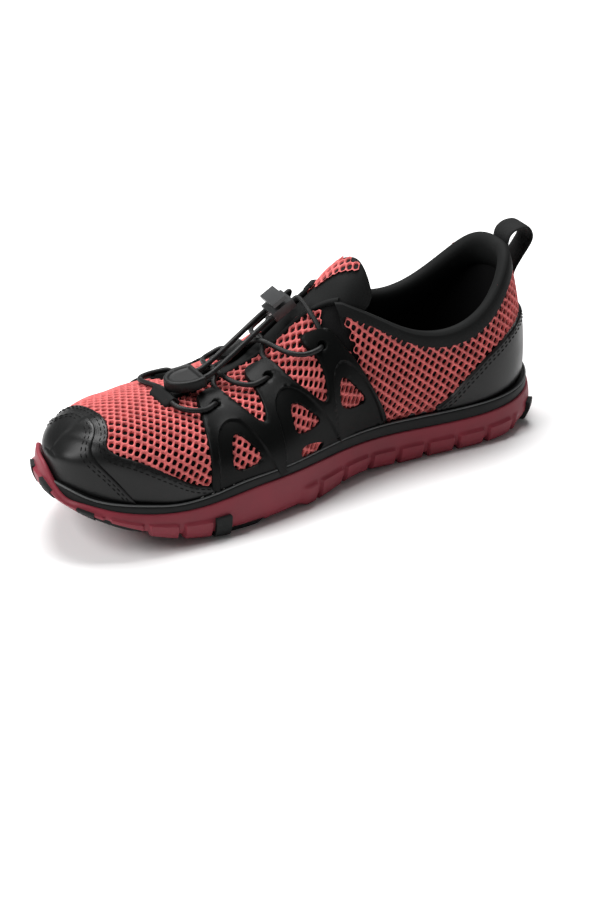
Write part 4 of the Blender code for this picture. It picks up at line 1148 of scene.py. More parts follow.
# Heel contour: how far along the skin lies behind, by height, and its length round the heel
HEEL_FRONT = 127.0
HEEL_LEVEL = 45.0
back_height = skin[MEDIAL][:, -1, 2]
back_along = np.interp(tall_steps, back_height[: np.argmax(back_height)], rib_along[: np.argmax(back_height)])
level_back = np.interp(HEEL_LEVEL, tall_steps, back_along)
contour_along = np.linspace(level_back, HEEL_FRONT, 600)
contour = on_skin(contour_along, up_at_height(contour_along, np.full(600, HEEL_LEVEL), MEDIAL), MEDIAL)
contour_reach = np.concatenate([[0], np.cumsum(np.linalg.norm(np.diff(contour, axis=0), axis=1))])


def heel_along(reach, height):
    """Place along of a point by its distance round the heel and its height."""
    back = np.interp(height, tall_steps, back_along)
    part = (np.interp(reach, contour_reach, contour_along) - level_back) / (HEEL_FRONT - level_back)
    return back + part * (HEEL_FRONT - back)


def round_heel(flat, lift):
    """Points of the skin by distance round the heel, medial above zero, and height over the floor."""
    points = np.empty((len(flat), 3))
    lift = np.broadcast_to(lift, (len(flat),))
    for side in (MEDIAL, LATERAL):
        here = (flat[:, 0] >= 0) == (side == MEDIAL)
        along = heel_along(np.abs(flat[here, 0]), flat[here, 1])
        points[here] = on_skin(along, up_at_height(along, flat[here, 1], side), side, lift[here])
    return points


knit_heel = KNIT * (1, -1)
spots = knit_centres(knit_heel, [(-125, 20), (125, 92)])
spot_along = heel_along(np.abs(spots[:, 0]), spots[:, 1])
spot_up = up_at_height(spot_along, spots[:, 1], MEDIAL)
keep = (spot_up > KNIT_FOOT) & (spots[:, 1] < collar_top(spot_along) - KNIT_COLLAR)
keep &= (spot_along < np.interp(spot_up, *JOINT.T)) & clear_of_eyelets(spot_along, spot_up)
quarter = solid("mesh_quarter", *knit(spots[keep], knit_heel, round_heel), coral_mesh, sharp=80)
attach(quarter, "shoe")

# Toe wing: a strip of black synthetic leather between the mesh and the toe cap, round the front of the vamp.
# It is cut to a curved edge and sewn to the mesh with two rows of black thread.
LEATHER_BLACK = (0.0045, 0.0047, 0.0047)
THREAD_BLACK = (0.004, 0.004, 0.004)
WING_LIFT = 0.45
WING_THICK = 0.75
WING_ROUND = 0.7
WING_LAP = 4.0
WING_SEAMS = (1.7, 3.5)
# Stitches of all the black seams: length, gap, radius
STITCH = (2.3, 0.9, 0.28)
# Border to the mesh, from the ridge to the lower edge: along, up
WING_EDGE = [(247, 39), (250, 33), (250.5, 29), (247, 27), (238, 26), (230, 23), (223, 20), (214, 15)]
WING_FOOT = [(206, 13), (200, 12), (195, 2)]
WING_REACH = (194.0, 240.0)
RIDGE_END = 244.0
# Edge of the toe cap: part of the rib, along
CAP_EDGE = np.array([(0, 237), (0.2, 246), (0.4, 254), (0.52, 257), (0.64, 256), (0.8, 251.5), (1, 250)])
cap_rear = curve(CAP_EDGE[:, 0], CAP_EDGE[:, 1])


def chaikin(points, rounds, loop):
    """Path with its corners cut round."""
    points = np.asarray(points, float)
    for _ in range(rounds):
        after = np.roll(points, -1, axis=0) if loop else points[1:]
        before = points if loop else points[:-1]
        cut = np.stack([0.75 * before + 0.25 * after, 0.25 * before + 0.75 * after], axis=1)
        cut = cut.reshape(-1, points.shape[1])
        points = cut if loop else np.vstack([points[:1], cut, points[-1:]])
    return points


def from_ridge(path, side):
    """Path of along and up, turned into along and distance from the ridge."""
    path = np.asarray(path, float)
    return np.stack([path[:, 0], side * (girth(path[:, 0], side) - path[:, 1])], axis=1)


def panel(distance, box, step, fine, where, base, thick, rounding, relief=None):
    """Closed sheet on the skin with a rounded border."""
    flat, triangles = sheet(distance, box, step, [0.0, -0.3 * rounding, -rounding], fine)
    inward = np.clip(-distance(flat) / rounding, 0, 1)
    lift = base + thick * np.sqrt(1 - (1 - inward) ** 2)
    if relief is not None:
        lift = lift + relief(flat) * inward
    return closed(where(flat, lift), where(flat, np.full(len(flat), base - 0.9)), triangles)


wing_half = {}
wing_rear = {}
for side in (MEDIAL, LATERAL):
    border = from_ridge(WING_EDGE + WING_FOOT, side)
    wing_rear[side] = chaikin(np.vstack([[(RIDGE_END, 0), (RIDGE_END + 0.5, side * 8)], border]), 3, False)
    lower = from_ridge([(along, 0.3) for along in np.linspace(*WING_REACH, 20)], side)
    parts = np.linspace(0, 1, 30)
    front_along = cap_rear(parts) + WING_LAP
    front = np.stack([front_along, side * (1 - parts) * girth(front_along, side)], axis=1)
    wing_half[side] = np.vstack([wing_rear[side], lower, front])
wing_loop = np.vstack([wing_half[MEDIAL], wing_half[LATERAL][::-1]])


def wing_distance(points):
    return loop_distance(points, wing_loop)


wing_box = [wing_loop.min(0) - 1, wing_loop.max(0) + 1]
leather = surface("black_leather", LEATHER_BLACK, 0.36, 0.9, 0.05, specular=0.24)
wing = solid(
    "toe_wing",
    *panel(wing_distance, wing_box, 2.5, 1.0, over_ridge, WING_LIFT, WING_THICK, WING_ROUND),
    leather,
)
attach(wing, "shoe")
black_thread = surface("black_thread", THREAD_BLACK, 0.6, 0.3, 0.05, specular=0.1)


def seam(rows, where, lift):
    """Stitches along rows of flat points on the skin."""
    outward = [where(row, 3.0) - where(row, 1.0) for row in rows]
    return stitches([where(row, lift) for row in rows], outward, *STITCH)


seam_rows = []
for side in (MEDIAL, LATERAL):
    seam_rows += [row_beside(even(wing_rear[side], 200), -side * inset) for inset in WING_SEAMS]
wing_seam = seam(seam_rows, over_ridge, WING_LIFT + WING_THICK)
wing_thread = solid("toe_wing_stitches", *wing_seam, black_thread)
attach(wing_thread, "shoe")

# Toe cap: smooth black synthetic leather over the toe box, moulded to the last.
# Its raised rear edge laps the wing and is sewn with two rows of black thread.
CAP_LIFT = 1.0
CAP_THICK = 1.0
CAP_ROUND = 1.2
CAP_SEAMS = (2.4, 4.2)
# Columns of points close to the rear edge, by their distance from it
CAP_STEPS = [0, 0.15, 0.4, 0.8, 1.4, 2.4]
CAP_ROWS = 45
CAP_COLUMNS = 34
cap_points = []
for side in (MEDIAL, LATERAL):
    parts = np.linspace(0, 1, CAP_ROWS)
    if side == LATERAL:
        parts = parts[::-1][1:]
    rear = cap_rear(parts)[:, None]
    near = rear + np.array(CAP_STEPS)
    far_turn = np.linspace(0, 1, CAP_COLUMNS)[1:]
    start_turn = round_ends(near[:, -1:], UPPER_HEEL, UPPER_LENGTH)
    far = UPPER_HEEL + UPPER_LENGTH * (1 - np.cos(math.pi * (start_turn + (1 - start_turn) * far_turn))) / 2
    along = np.hstack([near, far])
    inward = np.clip((along - rear) / CAP_ROUND, 0, 1)
    lift = CAP_LIFT + CAP_THICK * np.sqrt(1 - (1 - inward) ** 2)
    up = parts[:, None] * girth(along, side)
    cap_points.append((on_skin(along, up, side, lift), on_skin(along, up, side, 0.0)))
cap_top, cap_low = [np.vstack(halves) for halves in zip(*cap_points)]
cap_net = net(*cap_top.shape[:2])
cap = solid("toe_cap_leather", *closed(cap_top.reshape(-1, 3), cap_low.reshape(-1, 3), cap_net), leather)
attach(cap, "shoe")
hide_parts("toe_cap")
seam_rows = []
parts = np.linspace(0.02, 0.98, 150)
for side in (MEDIAL, LATERAL):
    for inset in CAP_SEAMS:
        along = cap_rear(parts) + inset
        seam_rows.append(np.stack([along, side * (1 - parts) * girth(along, side)], axis=1))
cap_seam = seam(seam_rows, over_ridge, CAP_LIFT + CAP_THICK)
cap_thread = solid("toe_cap_stitches", *cap_seam, black_thread)
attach(cap_thread, "shoe")

# Zigzag: a black moulded overlay on each side with three arms, flat angular tab heads and eyelets.
# It is injection moulded in one piece, embossed round its windows, and welded to the mesh.
MOULD_BLACK = (0.0028, 0.0031, 0.003)
ZIGZAG_LIFT = 0.55
ZIGZAG_THICK = 1.25
EYELET_RADIUS = 1.7
# How much thicker the heads are, and where that starts and is full
HEAD_THICK = 0.8
HEAD_UP = (40.0, 60.0)
# Depth and width of the sunk ring round an eyelet, and of the step along an embossed line
EYELET_SINK = (0.4, 0.9)
EMBOSS = 0.5
EMBOSS_FADE = 2.2
ZIGZAG_ROUND = 0.9
# Outline by along and up: the front edge and the three heads, each with the notch behind it
ZIGZAG = [(205, 0.3), (204, 28), (200.5, 45), (198.3, 53.5)]
ZIGZAG += [(196.3, 59), (194.8, 61.4), (192, 62.7), (185.5, 63.7), (183, 62.6), (182, 59.5)]
ZIGZAG += [(179.5, 48.8), (174.5, 37), (171.2, 32.5), (168.8, 33.5), (167.2, 42), (167.2, 50), (168, 57)]
ZIGZAG += [(166.8, 62), (165.3, 64), (162.5, 64.8), (155.3, 63.2), (153, 61.4), (151.8, 57.5)]
ZIGZAG += [(149.5, 45), (141.5, 32.8), (136, 27), (133.2, 28), (132.3, 40), (134, 49), (137.8, 56)]
ZIGZAG += [(137.6, 59.8), (136.6, 61.4), (134.5, 61.8), (126, 60.4), (123.3, 58.8), (122, 55.5)]
ZIGZAG += [(118.5, 48), (112, 38), (97, 8), (96, 0.3)]
WINDOWS = [
    [(192.8, 17.5), (191.6, 26), (189, 32.8), (186, 33.2), (181.5, 26.5), (175, 17), (184, 15.5)],
    [(155.6, 20), (156, 27), (154.8, 34), (151.5, 34), (146, 27.5), (139, 19.5), (148, 18)],
    [(125.4, 20), (125.6, 27), (124, 34), (121, 34), (115.5, 27), (108.5, 18.5), (117.5, 17)],
    [(154, 7.5), (153, 13), (144.5, 11), (137.5, 7.5), (146, 4.5)],
]
# Embossed line round each window
ARCHES = [
    [(200.5, 3), (200.5, 26), (196, 36.5), (191, 40), (186.5, 40.5), (181.5, 37.2), (173, 18), (167, 4)],
    [(163.5, 6), (163.8, 28), (162.8, 36.5), (158.8, 42), (153.5, 43), (147.5, 38), (137, 22), (128, 4)],
    [(129.5, 6), (129.8, 26), (128.8, 36), (125.5, 41.5), (121, 42.5), (115, 37.5), (105, 20), (99.5, 4)],
]
zigzag_loop = chaikin(ZIGZAG, 2, True)
window_loops = [chaikin(window, 2, True) for window in WINDOWS]
arch_paths = [chaikin(arch, 3, False) for arch in ARCHES]


def zigzag_distance(points):
    value = loop_distance(points, zigzag_loop)
    for window in window_loops:
        value = np.maximum(value, -loop_distance(points, window))
    for spot in EYELETS:
        value = np.maximum(value, EYELET_RADIUS - np.linalg.norm(points - spot, axis=1))
    return value


def zigzag_relief(points):
    """Arms that thicken to their heads, a step along each embossed line and a sunk ring round each eyelet."""
    relief = HEAD_THICK * soft((points[:, 1] - HEAD_UP[0]) / (HEAD_UP[1] - HEAD_UP[0]))
    for arch in arch_paths:
        line = path_distance(points, arch)
        inside = loop_distance(points, arch) < 0
        step = np.where(inside, -EMBOSS, EMBOSS * np.exp(-line / EMBOSS_FADE))
        relief = relief + step * soft(line / 0.4)
    for spot in EYELETS:
        rim_gap = np.linalg.norm(points - spot, axis=1) - EYELET_RADIUS - 0.2
        relief = relief - EYELET_SINK[0] * soft(1 - rim_gap / EYELET_SINK[1])
    return relief


moulded = surface("black_moulded", MOULD_BLACK, 0.4, 0.35, 0.03, specular=0.08)
zigzag_box = [(94, -1), (206, 66)]
arch_rows = [row_beside(even(arch, 90), gap) for arch in arch_paths for gap in (-0.4, 0.0, 0.4, 1.2)]
arch_rows = spread(np.vstack(arch_rows), 0.3)
arch_rows = arch_rows[zigzag_distance(arch_rows) < -1.2]
flat, triangles = sheet(zigzag_distance, zigzag_box, 1.8, [0.0, -0.3, -0.9], 0.9, extra=[arch_rows])
inward = np.clip(-zigzag_distance(flat) / ZIGZAG_ROUND, 0, 1)
lift = ZIGZAG_LIFT + ZIGZAG_THICK * np.sqrt(1 - (1 - inward) ** 2) + zigzag_relief(flat) * inward
for name, side in (("medial", MEDIAL), ("lateral", LATERAL)):
    top = on_skin(flat[:, 0], flat[:, 1], side, lift)
    bottom = on_skin(flat[:, 0], flat[:, 1], side, -0.4)
    zigzag = solid(f"zigzag_{name}", *closed(top, bottom, triangles), moulded)
    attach(zigzag, "shoe")
    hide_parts(f"overlay_{name}")

# Heel counter: a black stiffener moulded round the heel, with a rounded top edge.
# It is stuck over the mesh and sewn along its edge with two rows of black thread.
COUNTER_LIFT = 0.7
COUNTER_THICK = 1.2
# Along, height of its edge over the floor
COUNTER_EDGE = np.array([(5, 60), (12, 59), (25, 54), (40, 46), (52, 37), (60, 30), (68, 25)])
COUNTER_ROUND = 0.9
COUNTER_SEAMS = (2.0, 3.8)
counter_reach = np.linspace(0, np.interp(COUNTER_EDGE[-1, 0], contour_along, contour_reach), 60)
counter_along = heel_along(counter_reach, np.full(60, HEEL_LEVEL))
counter_top = np.interp(counter_along, *COUNTER_EDGE.T)
counter_foot = spring(counter_along) + feather(counter_along) + 0.4
half_top = np.stack([counter_reach, counter_top], axis=1)
half_foot = np.stack([counter_reach, counter_foot], axis=1)
counter_line = np.vstack([half_top[::-1] * (-1, 1), half_top[1:]])
counter_loop = np.vstack([counter_line, half_foot[::-1], half_foot[1:] * (-1, 1)])


def counter_distance(points):
    return loop_distance(points, counter_loop)


counter_box = [counter_loop.min(0) - 1, counter_loop.max(0) + 1]
counter = solid(
    "heel_counter_shell",
    *panel(counter_distance, counter_box, 2.5, 1.0, round_heel, COUNTER_LIFT, COUNTER_THICK, COUNTER_ROUND),
    leather,
)
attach(counter, "shoe")
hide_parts("heel_counter")
seam_rows = [row_beside(even(counter_line, 240), -inset) for inset in COUNTER_SEAMS]
counter_seam = seam(seam_rows, round_heel, COUNTER_LIFT + COUNTER_THICK)
counter_thread = solid("heel_counter_stitches", *counter_seam, black_thread)
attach(counter_thread, "shoe")

# Collar: a padded roll of black cloth round the ankle, wider in front.
# Foam is wrapped in smooth cloth, turned over the top line and sewn to the upper.
CLOTH_BLACK = (0.006, 0.0064, 0.0064)
# Outer face: part of the width down from the top line, lift. Inner face: millimetres down from it, lift
COLLAR_OUTER = [(1, 0.35), (0.98, 0.85), (0.93, 1.1), (0.5, 1.5), (0.15, 1.8)]
COLLAR_INNER = [(0.8, 1.5), (-0.5, 0.5), (-1.2, -1.2), (-0.9, -3), (0.6, -4.6), (4, -5.4)]
COLLAR_INNER += [(10, -5.2), (15, -4), (17, -2.6), (14, -1.5)]
# Distance round the heel, width of the roll
COLLAR_WIDTH = np.array([(0, 9), (45, 9), (75, 7.5), (100, 6), (125, 5.5)])


def roll(rows):
    """Points and faces of a roll through rows of points, closed round them and flat at both ends."""
    count = len(rows[0])
    faces = net(len(rows), count, round_rows=True)
    for end in (0, count - 1):
        faces.append(tuple(i * count + end for i in range(len(rows))))
    return np.vstack(rows), faces


collar_end = np.interp(COLLAR[-1, 0] + 2, contour_along, contour_reach)
collar_reach = np.linspace(-collar_end, collar_end, 161)
collar_height = np.full(len(collar_reach), 80.0)
for _ in range(12):
    collar_along = heel_along(np.abs(collar_reach), collar_height)
    collar_height = 0.5 * collar_height + 0.5 * collar_top(collar_along)
collar_width = np.interp(np.abs(collar_reach), *COLLAR_WIDTH.T)
collar_rows = []
for part, lift in COLLAR_OUTER:
    spots = np.stack([collar_reach, collar_height - part * collar_width], axis=1)
    collar_rows.append(round_heel(spots, lift))
for down, lift in COLLAR_INNER:
    spots = np.stack([collar_reach, collar_height - max(down, 0)], axis=1)
    row = round_heel(spots, lift)
    row[:, 2] += max(-down, 0)
    collar_rows.append(row)
smooth_cloth = surface("black_cloth", CLOTH_BLACK, 0.75, 0.6, 0.08, specular=0.15)
collar = solid("collar_roll", *roll(collar_rows), smooth_cloth, sharp=80)
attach(collar, "shoe")

# Throat band: a narrow binding of black cloth along both sides of the throat and round its base.
# It is folded over the cut edge of the mesh and sewn down. A tab at its base, the keeper, holds the lace.
THROAT_COUNT = 181
# Distance from the throat's edge, lift
THROAT_PROFILE = [(2.0, 0.3), (1.8, 0.8), (1.3, 1.0), (0.6, 1.05), (0.1, 0.8)]
THROAT_PROFILE += [(-0.4, 0.1), (-0.4, -1), (0.3, -2), (2, -2.4), (2.2, -1)]
# Keeper: half its size, place along, corner radius, lift, thickness, rounded edge, swell over the lace
KEEPER_HALF = (4.6, 9.5)
KEEPER_AT = 209.0
KEEPER_CORNER = 3.0
KEEPER_LIFT = 1.0
KEEPER_THICK = 0.6
KEEPER_ROUND = 0.7
KEEPER_SWELL = (2.8, 2.4)
throat_line = np.vstack([THROAT[MEDIAL], THROAT[LATERAL][-2::-1] * (1, -1)])
throat_line = even(chaikin(throat_line, 3, False), THROAT_COUNT)
throat_rows = [over_ridge(row_beside(throat_line, inset), lift) for inset, lift in THROAT_PROFILE]
throat = solid("throat_band", *roll(throat_rows), smooth_cloth, sharp=80)
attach(throat, "shoe")


def keeper_distance(points):
    return rounded_corner(np.abs(points - (KEEPER_AT, 0)) - np.array(KEEPER_HALF), KEEPER_CORNER)


def keeper_relief(points):
    return KEEPER_SWELL[0] * np.exp(-(((points[:, 0] - KEEPER_AT) / KEEPER_SWELL[1]) ** 2))


keeper_box = [(KEEPER_AT - 8, -13), (KEEPER_AT + 8, 13)]
keeper_sizes = (KEEPER_LIFT, KEEPER_THICK, KEEPER_ROUND)
keeper = solid(
    "throat_keeper",
    *panel(keeper_distance, keeper_box, 1.2, 0.8, over_ridge, *keeper_sizes, keeper_relief),
    smooth_cloth,
)
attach(keeper, "shoe")

# Tongue: a padded black tongue under the throat, with coral knit on the part that shows over the collar.
# Foam between two cloths, sewn in at the base of the throat.
TONGUE_REACH = (97.0, 212.0)
TONGUE_ROWS = 90
TONGUE_COLUMNS = 33
# Along, half width
TONGUE = np.array([(96, 22), (100, 26), (116, 28), (150, 24), (190, 19), (213, 13)])
# Lift of its edges, swell of its face under the throat and at its top, lift and swell of its back
TONGUE_LIFT = -3.0
TONGUE_SWELL = (1.6, 2.2)
TONGUE_BACK = -3.8
TONGUE_PAD = 3.4
# Along where its full top ends, and the length of that change
TONGUE_RISE = (122.0, 16.0)
# Knit: along where it starts and ends at most, distance from the sides, lift
TONGUE_KNIT = (100.0, 124.0)
TONGUE_KNIT_SIDE = 4.0
TONGUE_KNIT_LIFT = 0.5
# Slanted seam between the knit and the black cloth: along at the ridge, and its slope across
TONGUE_SEAM = (109.0, 0.8)


def tongue_half(along):
    return np.interp(along, *TONGUE.T)


def tongue_lift(along, part):
    """Stand of the tongue's face off the last: low under the throat, full at its top."""
    swell = 1 - np.abs(part) ** 2.5
    rise = soft((TONGUE_RISE[0] - along) / TONGUE_RISE[1])
    end = soft((along - TONGUE_REACH[0] + 0.5) / 3)
    return TONGUE_LIFT + (TONGUE_SWELL[0] + TONGUE_SWELL[1] * rise * end) * swell


tongue_along = np.repeat(np.linspace(*TONGUE_REACH, TONGUE_ROWS), TONGUE_COLUMNS)
tongue_part = np.tile(np.linspace(-1, 1, TONGUE_COLUMNS), TONGUE_ROWS)
tongue_spots = np.stack([tongue_along, tongue_half(tongue_along) * tongue_part], axis=1)
tongue_solid = closed(
    over_ridge(tongue_spots, tongue_lift(tongue_along, tongue_part)),
    over_ridge(tongue_spots, TONGUE_BACK - TONGUE_PAD * (1 - np.abs(tongue_part) ** 3)),
    net(TONGUE_ROWS, TONGUE_COLUMNS),
)
tongue = solid("tongue_pad", *tongue_solid, smooth_cloth, sharp=70)
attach(tongue, "shoe")
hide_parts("tongue")


def on_tongue(flat, lift):
    part = flat[:, 1] / tongue_half(flat[:, 0])
    return over_ridge(flat, lift + tongue_lift(flat[:, 0], np.clip(part, -1, 1)))


spots = knit_centres(KNIT, [(TONGUE_KNIT[0], -24), (TONGUE_KNIT[1], 24)])
spots = spots[np.abs(spots[:, 1]) < tongue_half(spots[:, 0]) - TONGUE_KNIT_SIDE]
spots = spots[spots[:, 0] < TONGUE_SEAM[0] - TONGUE_SEAM[1] * spots[:, 1]]
tongue_knit = solid("tongue_mesh", *knit(spots, KNIT, on_tongue, TONGUE_KNIT_LIFT), coral_mesh, sharp=80)
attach(tongue_knit, "shoe")

# Lace: one round black elastic cord through the keeper and the eyelets, crossed twice, up to the lock.
# Its braided cover has a fine grain. The two free ends run from the lock to the clip.
CORD_BLACK = (0.006, 0.0063, 0.0063)
CORD = 2.6
# Stands for an up that is past every ridge, so the cord goes over it
RIDGE = 999.0
# Along, up and lift of the bar from an eyelet to the ridge
BAR = [
    (189, 51.5, -0.6),
    (189.8, 51, 2.2),
    (194.5, 49.2, 3.2),
    (200, 49.1, 3.2),
    (205, 50.6, 3.0),
    (209, 54.5, 2.6),
    (209.5, 61, 2.2),
]
BAR_TOP = (207.0, RIDGE, 2.2)
# Crossing: turn to the other side, distance back from its start, up and lift
CROSS = [
    (1, 0.6, 59.5, 0.2),
    (1, 0, 64.3, 1.8),
    (-1, 3.5, RIDGE, 3.8),
    (-1, 6.5, 62, 3.8),
    (-1, 9.7, 55.4, 3.6),
    (-1, 16.5, 51, 3.2),
    (-1, 23, 51.2, 2.4),
    (-1, 24.8, 52.3, -0.6),
]
CROSS_STARTS = (183.0, 154.2)
# Along, up and lift of the rise from the top eyelet to the lock
RISE = [(127.5, 57, 0.2), (127.5, 62.5, 1.8)]
# Slopes of the lock and the clip, half their lengths, and the distance of each cord from the middle
LOCK_SLOPE = math.radians(30)
CLIP_SLOPE = math.radians(4)
LOCK_HALF = 6.25
CLIP_HALF = 9.0
CORD_SPREAD = 4.0
# How far a cord goes into the lock or the clip, and runs straight in front of it
CORD_GRIP = 1.0
CORD_STRAIGHT = 5.0
lock_seat = np.mean(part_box("lock_body"), axis=0) / MM
clip_seat = np.mean(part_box("lace_end_clip"), axis=0) / MM
lock_turn = np.array(Matrix.Rotation(LOCK_SLOPE, 3, "Y"))
clip_turn = np.array(Matrix.Rotation(CLIP_SLOPE, 3, "Y"))


def in_lock(x, y, z):
    return lock_seat + lock_turn @ np.array([x, y, z], float)


def in_clip(x, y, z):
    return clip_seat + clip_turn @ np.array([x, y, z], float)


def lace_point(side, along, up, lift):
    along = np.array([along], float)
    return on_skin(along, np.minimum(up, girth(along, side)), side, lift)[0]


black_cord = surface("black_cord", CORD_BLACK, 0.5, 0.5, 0.1, specular=0.25)
route = [lace_point(MEDIAL, *row) for row in BAR] + [lace_point(MEDIAL, *BAR_TOP)]
route += [lace_point(LATERAL, *row) for row in BAR[::-1]]
bar = solid("lace_bar_cord", *tube(bent(route, 120), CORD / 2), black_cord)
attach(bar, "shoe")
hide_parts("lace_bar")
for number, start in enumerate(CROSS_STARTS, 1):
    for name, side, over in (("medial", MEDIAL, 0.0), ("lateral", LATERAL, CORD)):
        route = []
        for turned, back, up, lift in CROSS:
            lift = lift + over * (up == RIDGE)
            route.append(lace_point(side * turned, start - back, up, lift))
        strand = solid(f"lace_cross_{number}_{name}", *tube(bent(route, 90), CORD / 2), black_cord)
        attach(strand, "shoe")
        if side == MEDIAL:
            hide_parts(f"lace_cross_{number}")
for name, side in (("medial", MEDIAL), ("lateral", LATERAL)):
    y = side * CORD_SPREAD
    route = [lace_point(side, *row) for row in RISE]
    route += [in_lock(-LOCK_HALF - gap, y, 0) for gap in (4, 0, -CORD_GRIP)]
    rise = solid(f"lace_rise_{name}_cord", *tube(even(chaikin(route, 4, False), 60), CORD / 2), black_cord)
    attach(rise, "shoe")
    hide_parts(f"lace_rise_{name}")
    route = [in_lock(LOCK_HALF - CORD_GRIP, y, 0), in_lock(LOCK_HALF + CORD_STRAIGHT, y, 0)]
    route += [in_clip(-CLIP_HALF - CORD_STRAIGHT, y, 0.6), in_clip(-CLIP_HALF + CORD_GRIP, y, 0)]
    path = even(chaikin(route, 4, False), 60)
    end = solid(f"lace_end_{name}_cord", *tube(path, CORD / 2), black_cord)
    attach(end, "shoe")
    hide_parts(f"lace_end_{name}")

# Cord lock: a grey plastic body with a spring button across it, on the two cords.
# Both are injection moulded, with a fine spark-eroded grain, and the button slides down in the body's pocket.
LOCK_GREY = (0.035, 0.036, 0.037)
LOCK_EDGE = 0.5
grey_plastic = surface("grey_plastic", LOCK_GREY, 0.3, 0.4, 0.03, specular=0.5)
for name in ("lock_body", "lock_button"):
    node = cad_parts[name]
    node.data.materials.clear()
    node.data.materials.append(grey_plastic)
    rounded = node.modifiers.new("edges", "BEVEL")
    rounded.width = LOCK_EDGE * MM
    rounded.segments = 3
    rounded.limit_method = "ANGLE"

# Clip: a D-shaped piece of black moulded rubber with a raised rim and a plain face.
# It is moulded in two halves that snap together over the knotted ends of the lace.
CLIP_WIDTH = 19.0
CLIP_THICK = 5.5
CLIP_STRAIGHT = 5.5
# Rear corners, width of the rim, depth of the face inside it, width and drop of the rounded edge
CLIP_CORNER = 0.8
CLIP_RIM = 1.9
CLIP_SINK = 0.9
CLIP_ROUND = (0.9, 0.8)
CLIP_BLACK = (0.006, 0.0063, 0.0063)
turns = np.linspace(-math.pi / 2, math.pi / 2, 40)
bow = np.stack(
    [
        CLIP_STRAIGHT - CLIP_HALF + (2 * CLIP_HALF - CLIP_STRAIGHT) * np.cos(turns),
        CLIP_WIDTH / 2 * np.sin(turns),
    ],
    axis=1,
)
corner = CLIP_WIDTH / 2 - CLIP_CORNER
clip_loop = np.vstack([[(-CLIP_HALF, corner), (-CLIP_HALF, -corner)], bow])


def clip_distance(points):
    return loop_distance(points, clip_loop)


clip_box = [(-13, -10), (13, 10)]
clip_levels = [0.0, -0.3, -CLIP_ROUND[0], -CLIP_RIM, -CLIP_RIM - 0.5, -CLIP_RIM - 1]
flat, triangles = sheet(clip_distance, clip_box, 1.6, clip_levels, 0.7)
inward = -clip_distance(flat)
face = CLIP_THICK / 2 - CLIP_SINK * soft((inward - CLIP_RIM) / 0.8)
face = face - CLIP_ROUND[1] * (1 - np.sqrt(1 - (1 - np.clip(inward / CLIP_ROUND[0], 0, 1)) ** 2))
clip_points = []
for hand in (1, -1):
    clip_points.append(np.array([in_clip(x, y, hand * z) for (x, y), z in zip(flat, face)]))
clip_look = surface("clip_rubber", CLIP_BLACK, 0.5, 0.4, 0.04, specular=0.25)
clip = solid("lace_clip", *closed(*clip_points, triangles), clip_look, sharp=70)
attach(clip, "shoe")
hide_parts("lace_end_clip")

# Pull loop: black webbing folded to a loop at the back of the heel.
# Both ends are sewn into the collar with a bar of thread.
LOOP_WIDTH = 14.0
LOOP_THICK = 1.6
# Along, height over the floor
LOOP_PATH = [(6.9, 66), (8.6, 74), (5, 81), (0.5, 87), (-2.2, 92.5)]
LOOP_PATH += [(-0.5, 97), (5, 98.5), (11, 95.5), (12.4, 90)]
loop_line = bent(LOOP_PATH, 70)
loop_step = np.gradient(loop_line, axis=0)
loop_step = loop_step / np.linalg.norm(loop_step, axis=1)[:, None]
loop_out = np.stack([-loop_step[:, 1], loop_step[:, 0]], axis=1)
across = np.linspace(-1, 1, 15) * LOOP_WIDTH / 2
swell = np.sqrt(np.clip(1 - (np.abs(across) / (LOOP_WIDTH / 2)) ** 6, 0.05, 1)) * LOOP_THICK / 2
rim = list(zip(across, swell)) + list(zip(across[::-1], -swell[::-1]))
loop_points = []
for spot, out in zip(loop_line, loop_out):
    for y, t in rim:
        loop_points.append(place(spot[0] + t * out[0], y, spot[1] + t * out[1]))
loop_faces = net(len(loop_line), len(rim), round_columns=True)
loop_faces += [tuple(range(len(rim))), tuple(range(len(loop_points) - len(rim), len(loop_points)))]
webbing = surface("black_webbing", CLOTH_BLACK, 0.85, 1.1, 0.3, specular=0.25)
loop = solid("pull_loop_webbing", np.array(loop_points), loop_faces, webbing, sharp=70)
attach(loop, "shoe")
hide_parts("pull_loop")

# Studio: a plain pale floor of matt paper, two large soft lights and the camera of the photo.
# The floor is wide enough to fill the picture, and the lights hang over the shoe and in front of its toe.
FLOOR_SIDE = 12.0
FLOOR_PALE = (0.92, 0.92, 0.92)
WORLD_LIGHT = 0.15
# Name, place in metres, width, power
LIGHTS = [
    ("top_light", (-0.3, -0.8, 1.9), 1.4, 62.0),
    ("toe_light", (1.5, -0.2, 1.4), 1.0, 34.0),
]
LIGHT_AIM = (0, 0, 0.04)
CAMERA_AZIMUTH = math.radians(152)
CAMERA_ELEVATION = math.radians(26)
CAMERA_ROLL = math.radians(-0.5)
CAMERA_DISTANCE = 1.45
CAMERA_LENS = 118.3
CAMERA_TARGET = np.array([0.0015, -0.0067, 0.040])
SENSOR_WIDTH = 36.0
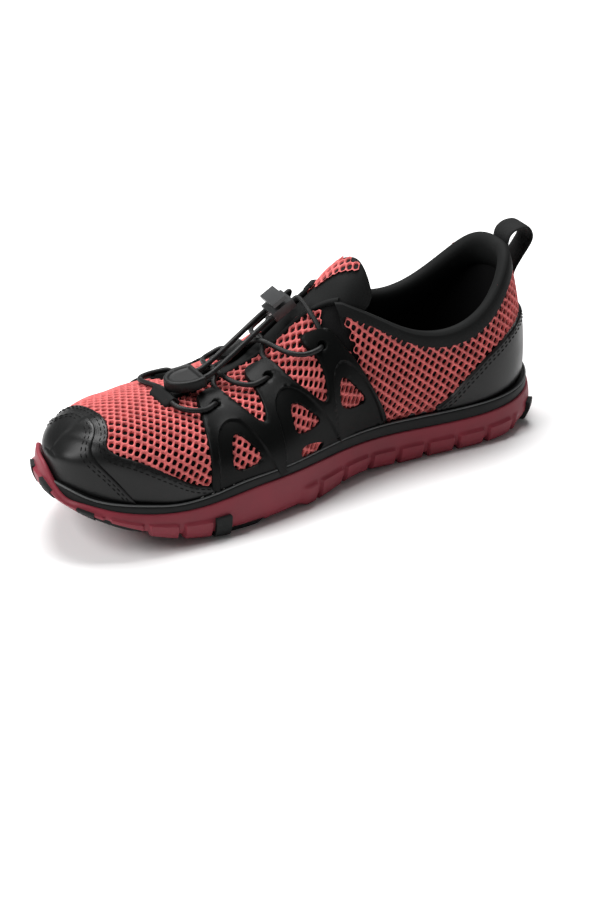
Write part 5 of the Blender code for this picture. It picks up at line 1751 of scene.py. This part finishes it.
# How far the aim goes to the right of the target and below it, and the focal length, all in pixels
AIM_PIXELS = (19.0, 64.5)
FOCAL_PIXELS = 2958.0
floor_mesh = bpy.data.meshes.new("floor")
half = FLOOR_SIDE / 2
corners = [(-half, -half, 0), (half, -half, 0), (half, half, 0), (-half, half, 0)]
floor_mesh.from_pydata(corners, [], [(0, 1, 2, 3)])
floor = bpy.data.objects.new("floor", floor_mesh)
floor_look = bpy.data.materials.new("floor_paper")
floor_look.use_nodes = True
paper = floor_look.node_tree.nodes["Principled BSDF"].inputs
paper["Base Color"].default_value = (*FLOOR_PALE, 1)
paper["Roughness"].default_value = 0.9
paper["Specular IOR Level"].default_value = 0.1
floor_mesh.materials.append(floor_look)
bpy.context.scene.collection.objects.link(floor)
world = bpy.data.worlds.new("studio")
world.use_nodes = True
sky = world.node_tree.nodes["Background"].inputs
sky["Color"].default_value = (1, 1, 1, 1)
sky["Strength"].default_value = WORLD_LIGHT
bpy.context.scene.world = world
for name, spot, width, power in LIGHTS:
    lamp = bpy.data.lights.new(name, "AREA")
    lamp.size = width
    lamp.energy = power
    lamp_object = bpy.data.objects.new(name, lamp)
    lamp_object.location = spot
    lamp_object.rotation_euler = (Vector(LIGHT_AIM) - Vector(spot)).to_track_quat("-Z", "Y").to_euler()
    bpy.context.scene.collection.objects.link(lamp_object)
flat_reach = math.cos(CAMERA_ELEVATION)
back = np.array(
    [
        math.sin(CAMERA_AZIMUTH) * flat_reach,
        -math.cos(CAMERA_AZIMUTH) * flat_reach,
        math.sin(CAMERA_ELEVATION),
    ]
)
right = np.array([math.cos(CAMERA_AZIMUTH), math.sin(CAMERA_AZIMUTH), 0])
above = np.cross(back, right)
rolled_right = math.cos(CAMERA_ROLL) * right + math.sin(CAMERA_ROLL) * above
rolled_above = math.cos(CAMERA_ROLL) * above - math.sin(CAMERA_ROLL) * right
aim_right, aim_below = [pixels / FOCAL_PIXELS for pixels in AIM_PIXELS]
forward = aim_right * rolled_right - aim_below * rolled_above - back
forward = forward / np.linalg.norm(forward)
rolled_right = np.cross(forward, rolled_above)
rolled_right = rolled_right / np.linalg.norm(rolled_right)
rolled_above = np.cross(rolled_right, forward)
camera_data = bpy.data.cameras.new("camera")
camera_data.lens = CAMERA_LENS
camera_data.sensor_width = SENSOR_WIDTH
camera = bpy.data.objects.new("camera", camera_data)
turned = Matrix(np.stack([rolled_right, rolled_above, -forward], axis=1).tolist()).to_4x4()
camera.matrix_world = Matrix.Translation(CAMERA_TARGET + CAMERA_DISTANCE * back) @ turned
bpy.context.scene.collection.objects.link(camera)
bpy.context.scene.camera = camera
bpy.context.scene.view_settings.view_transform = "Standard"
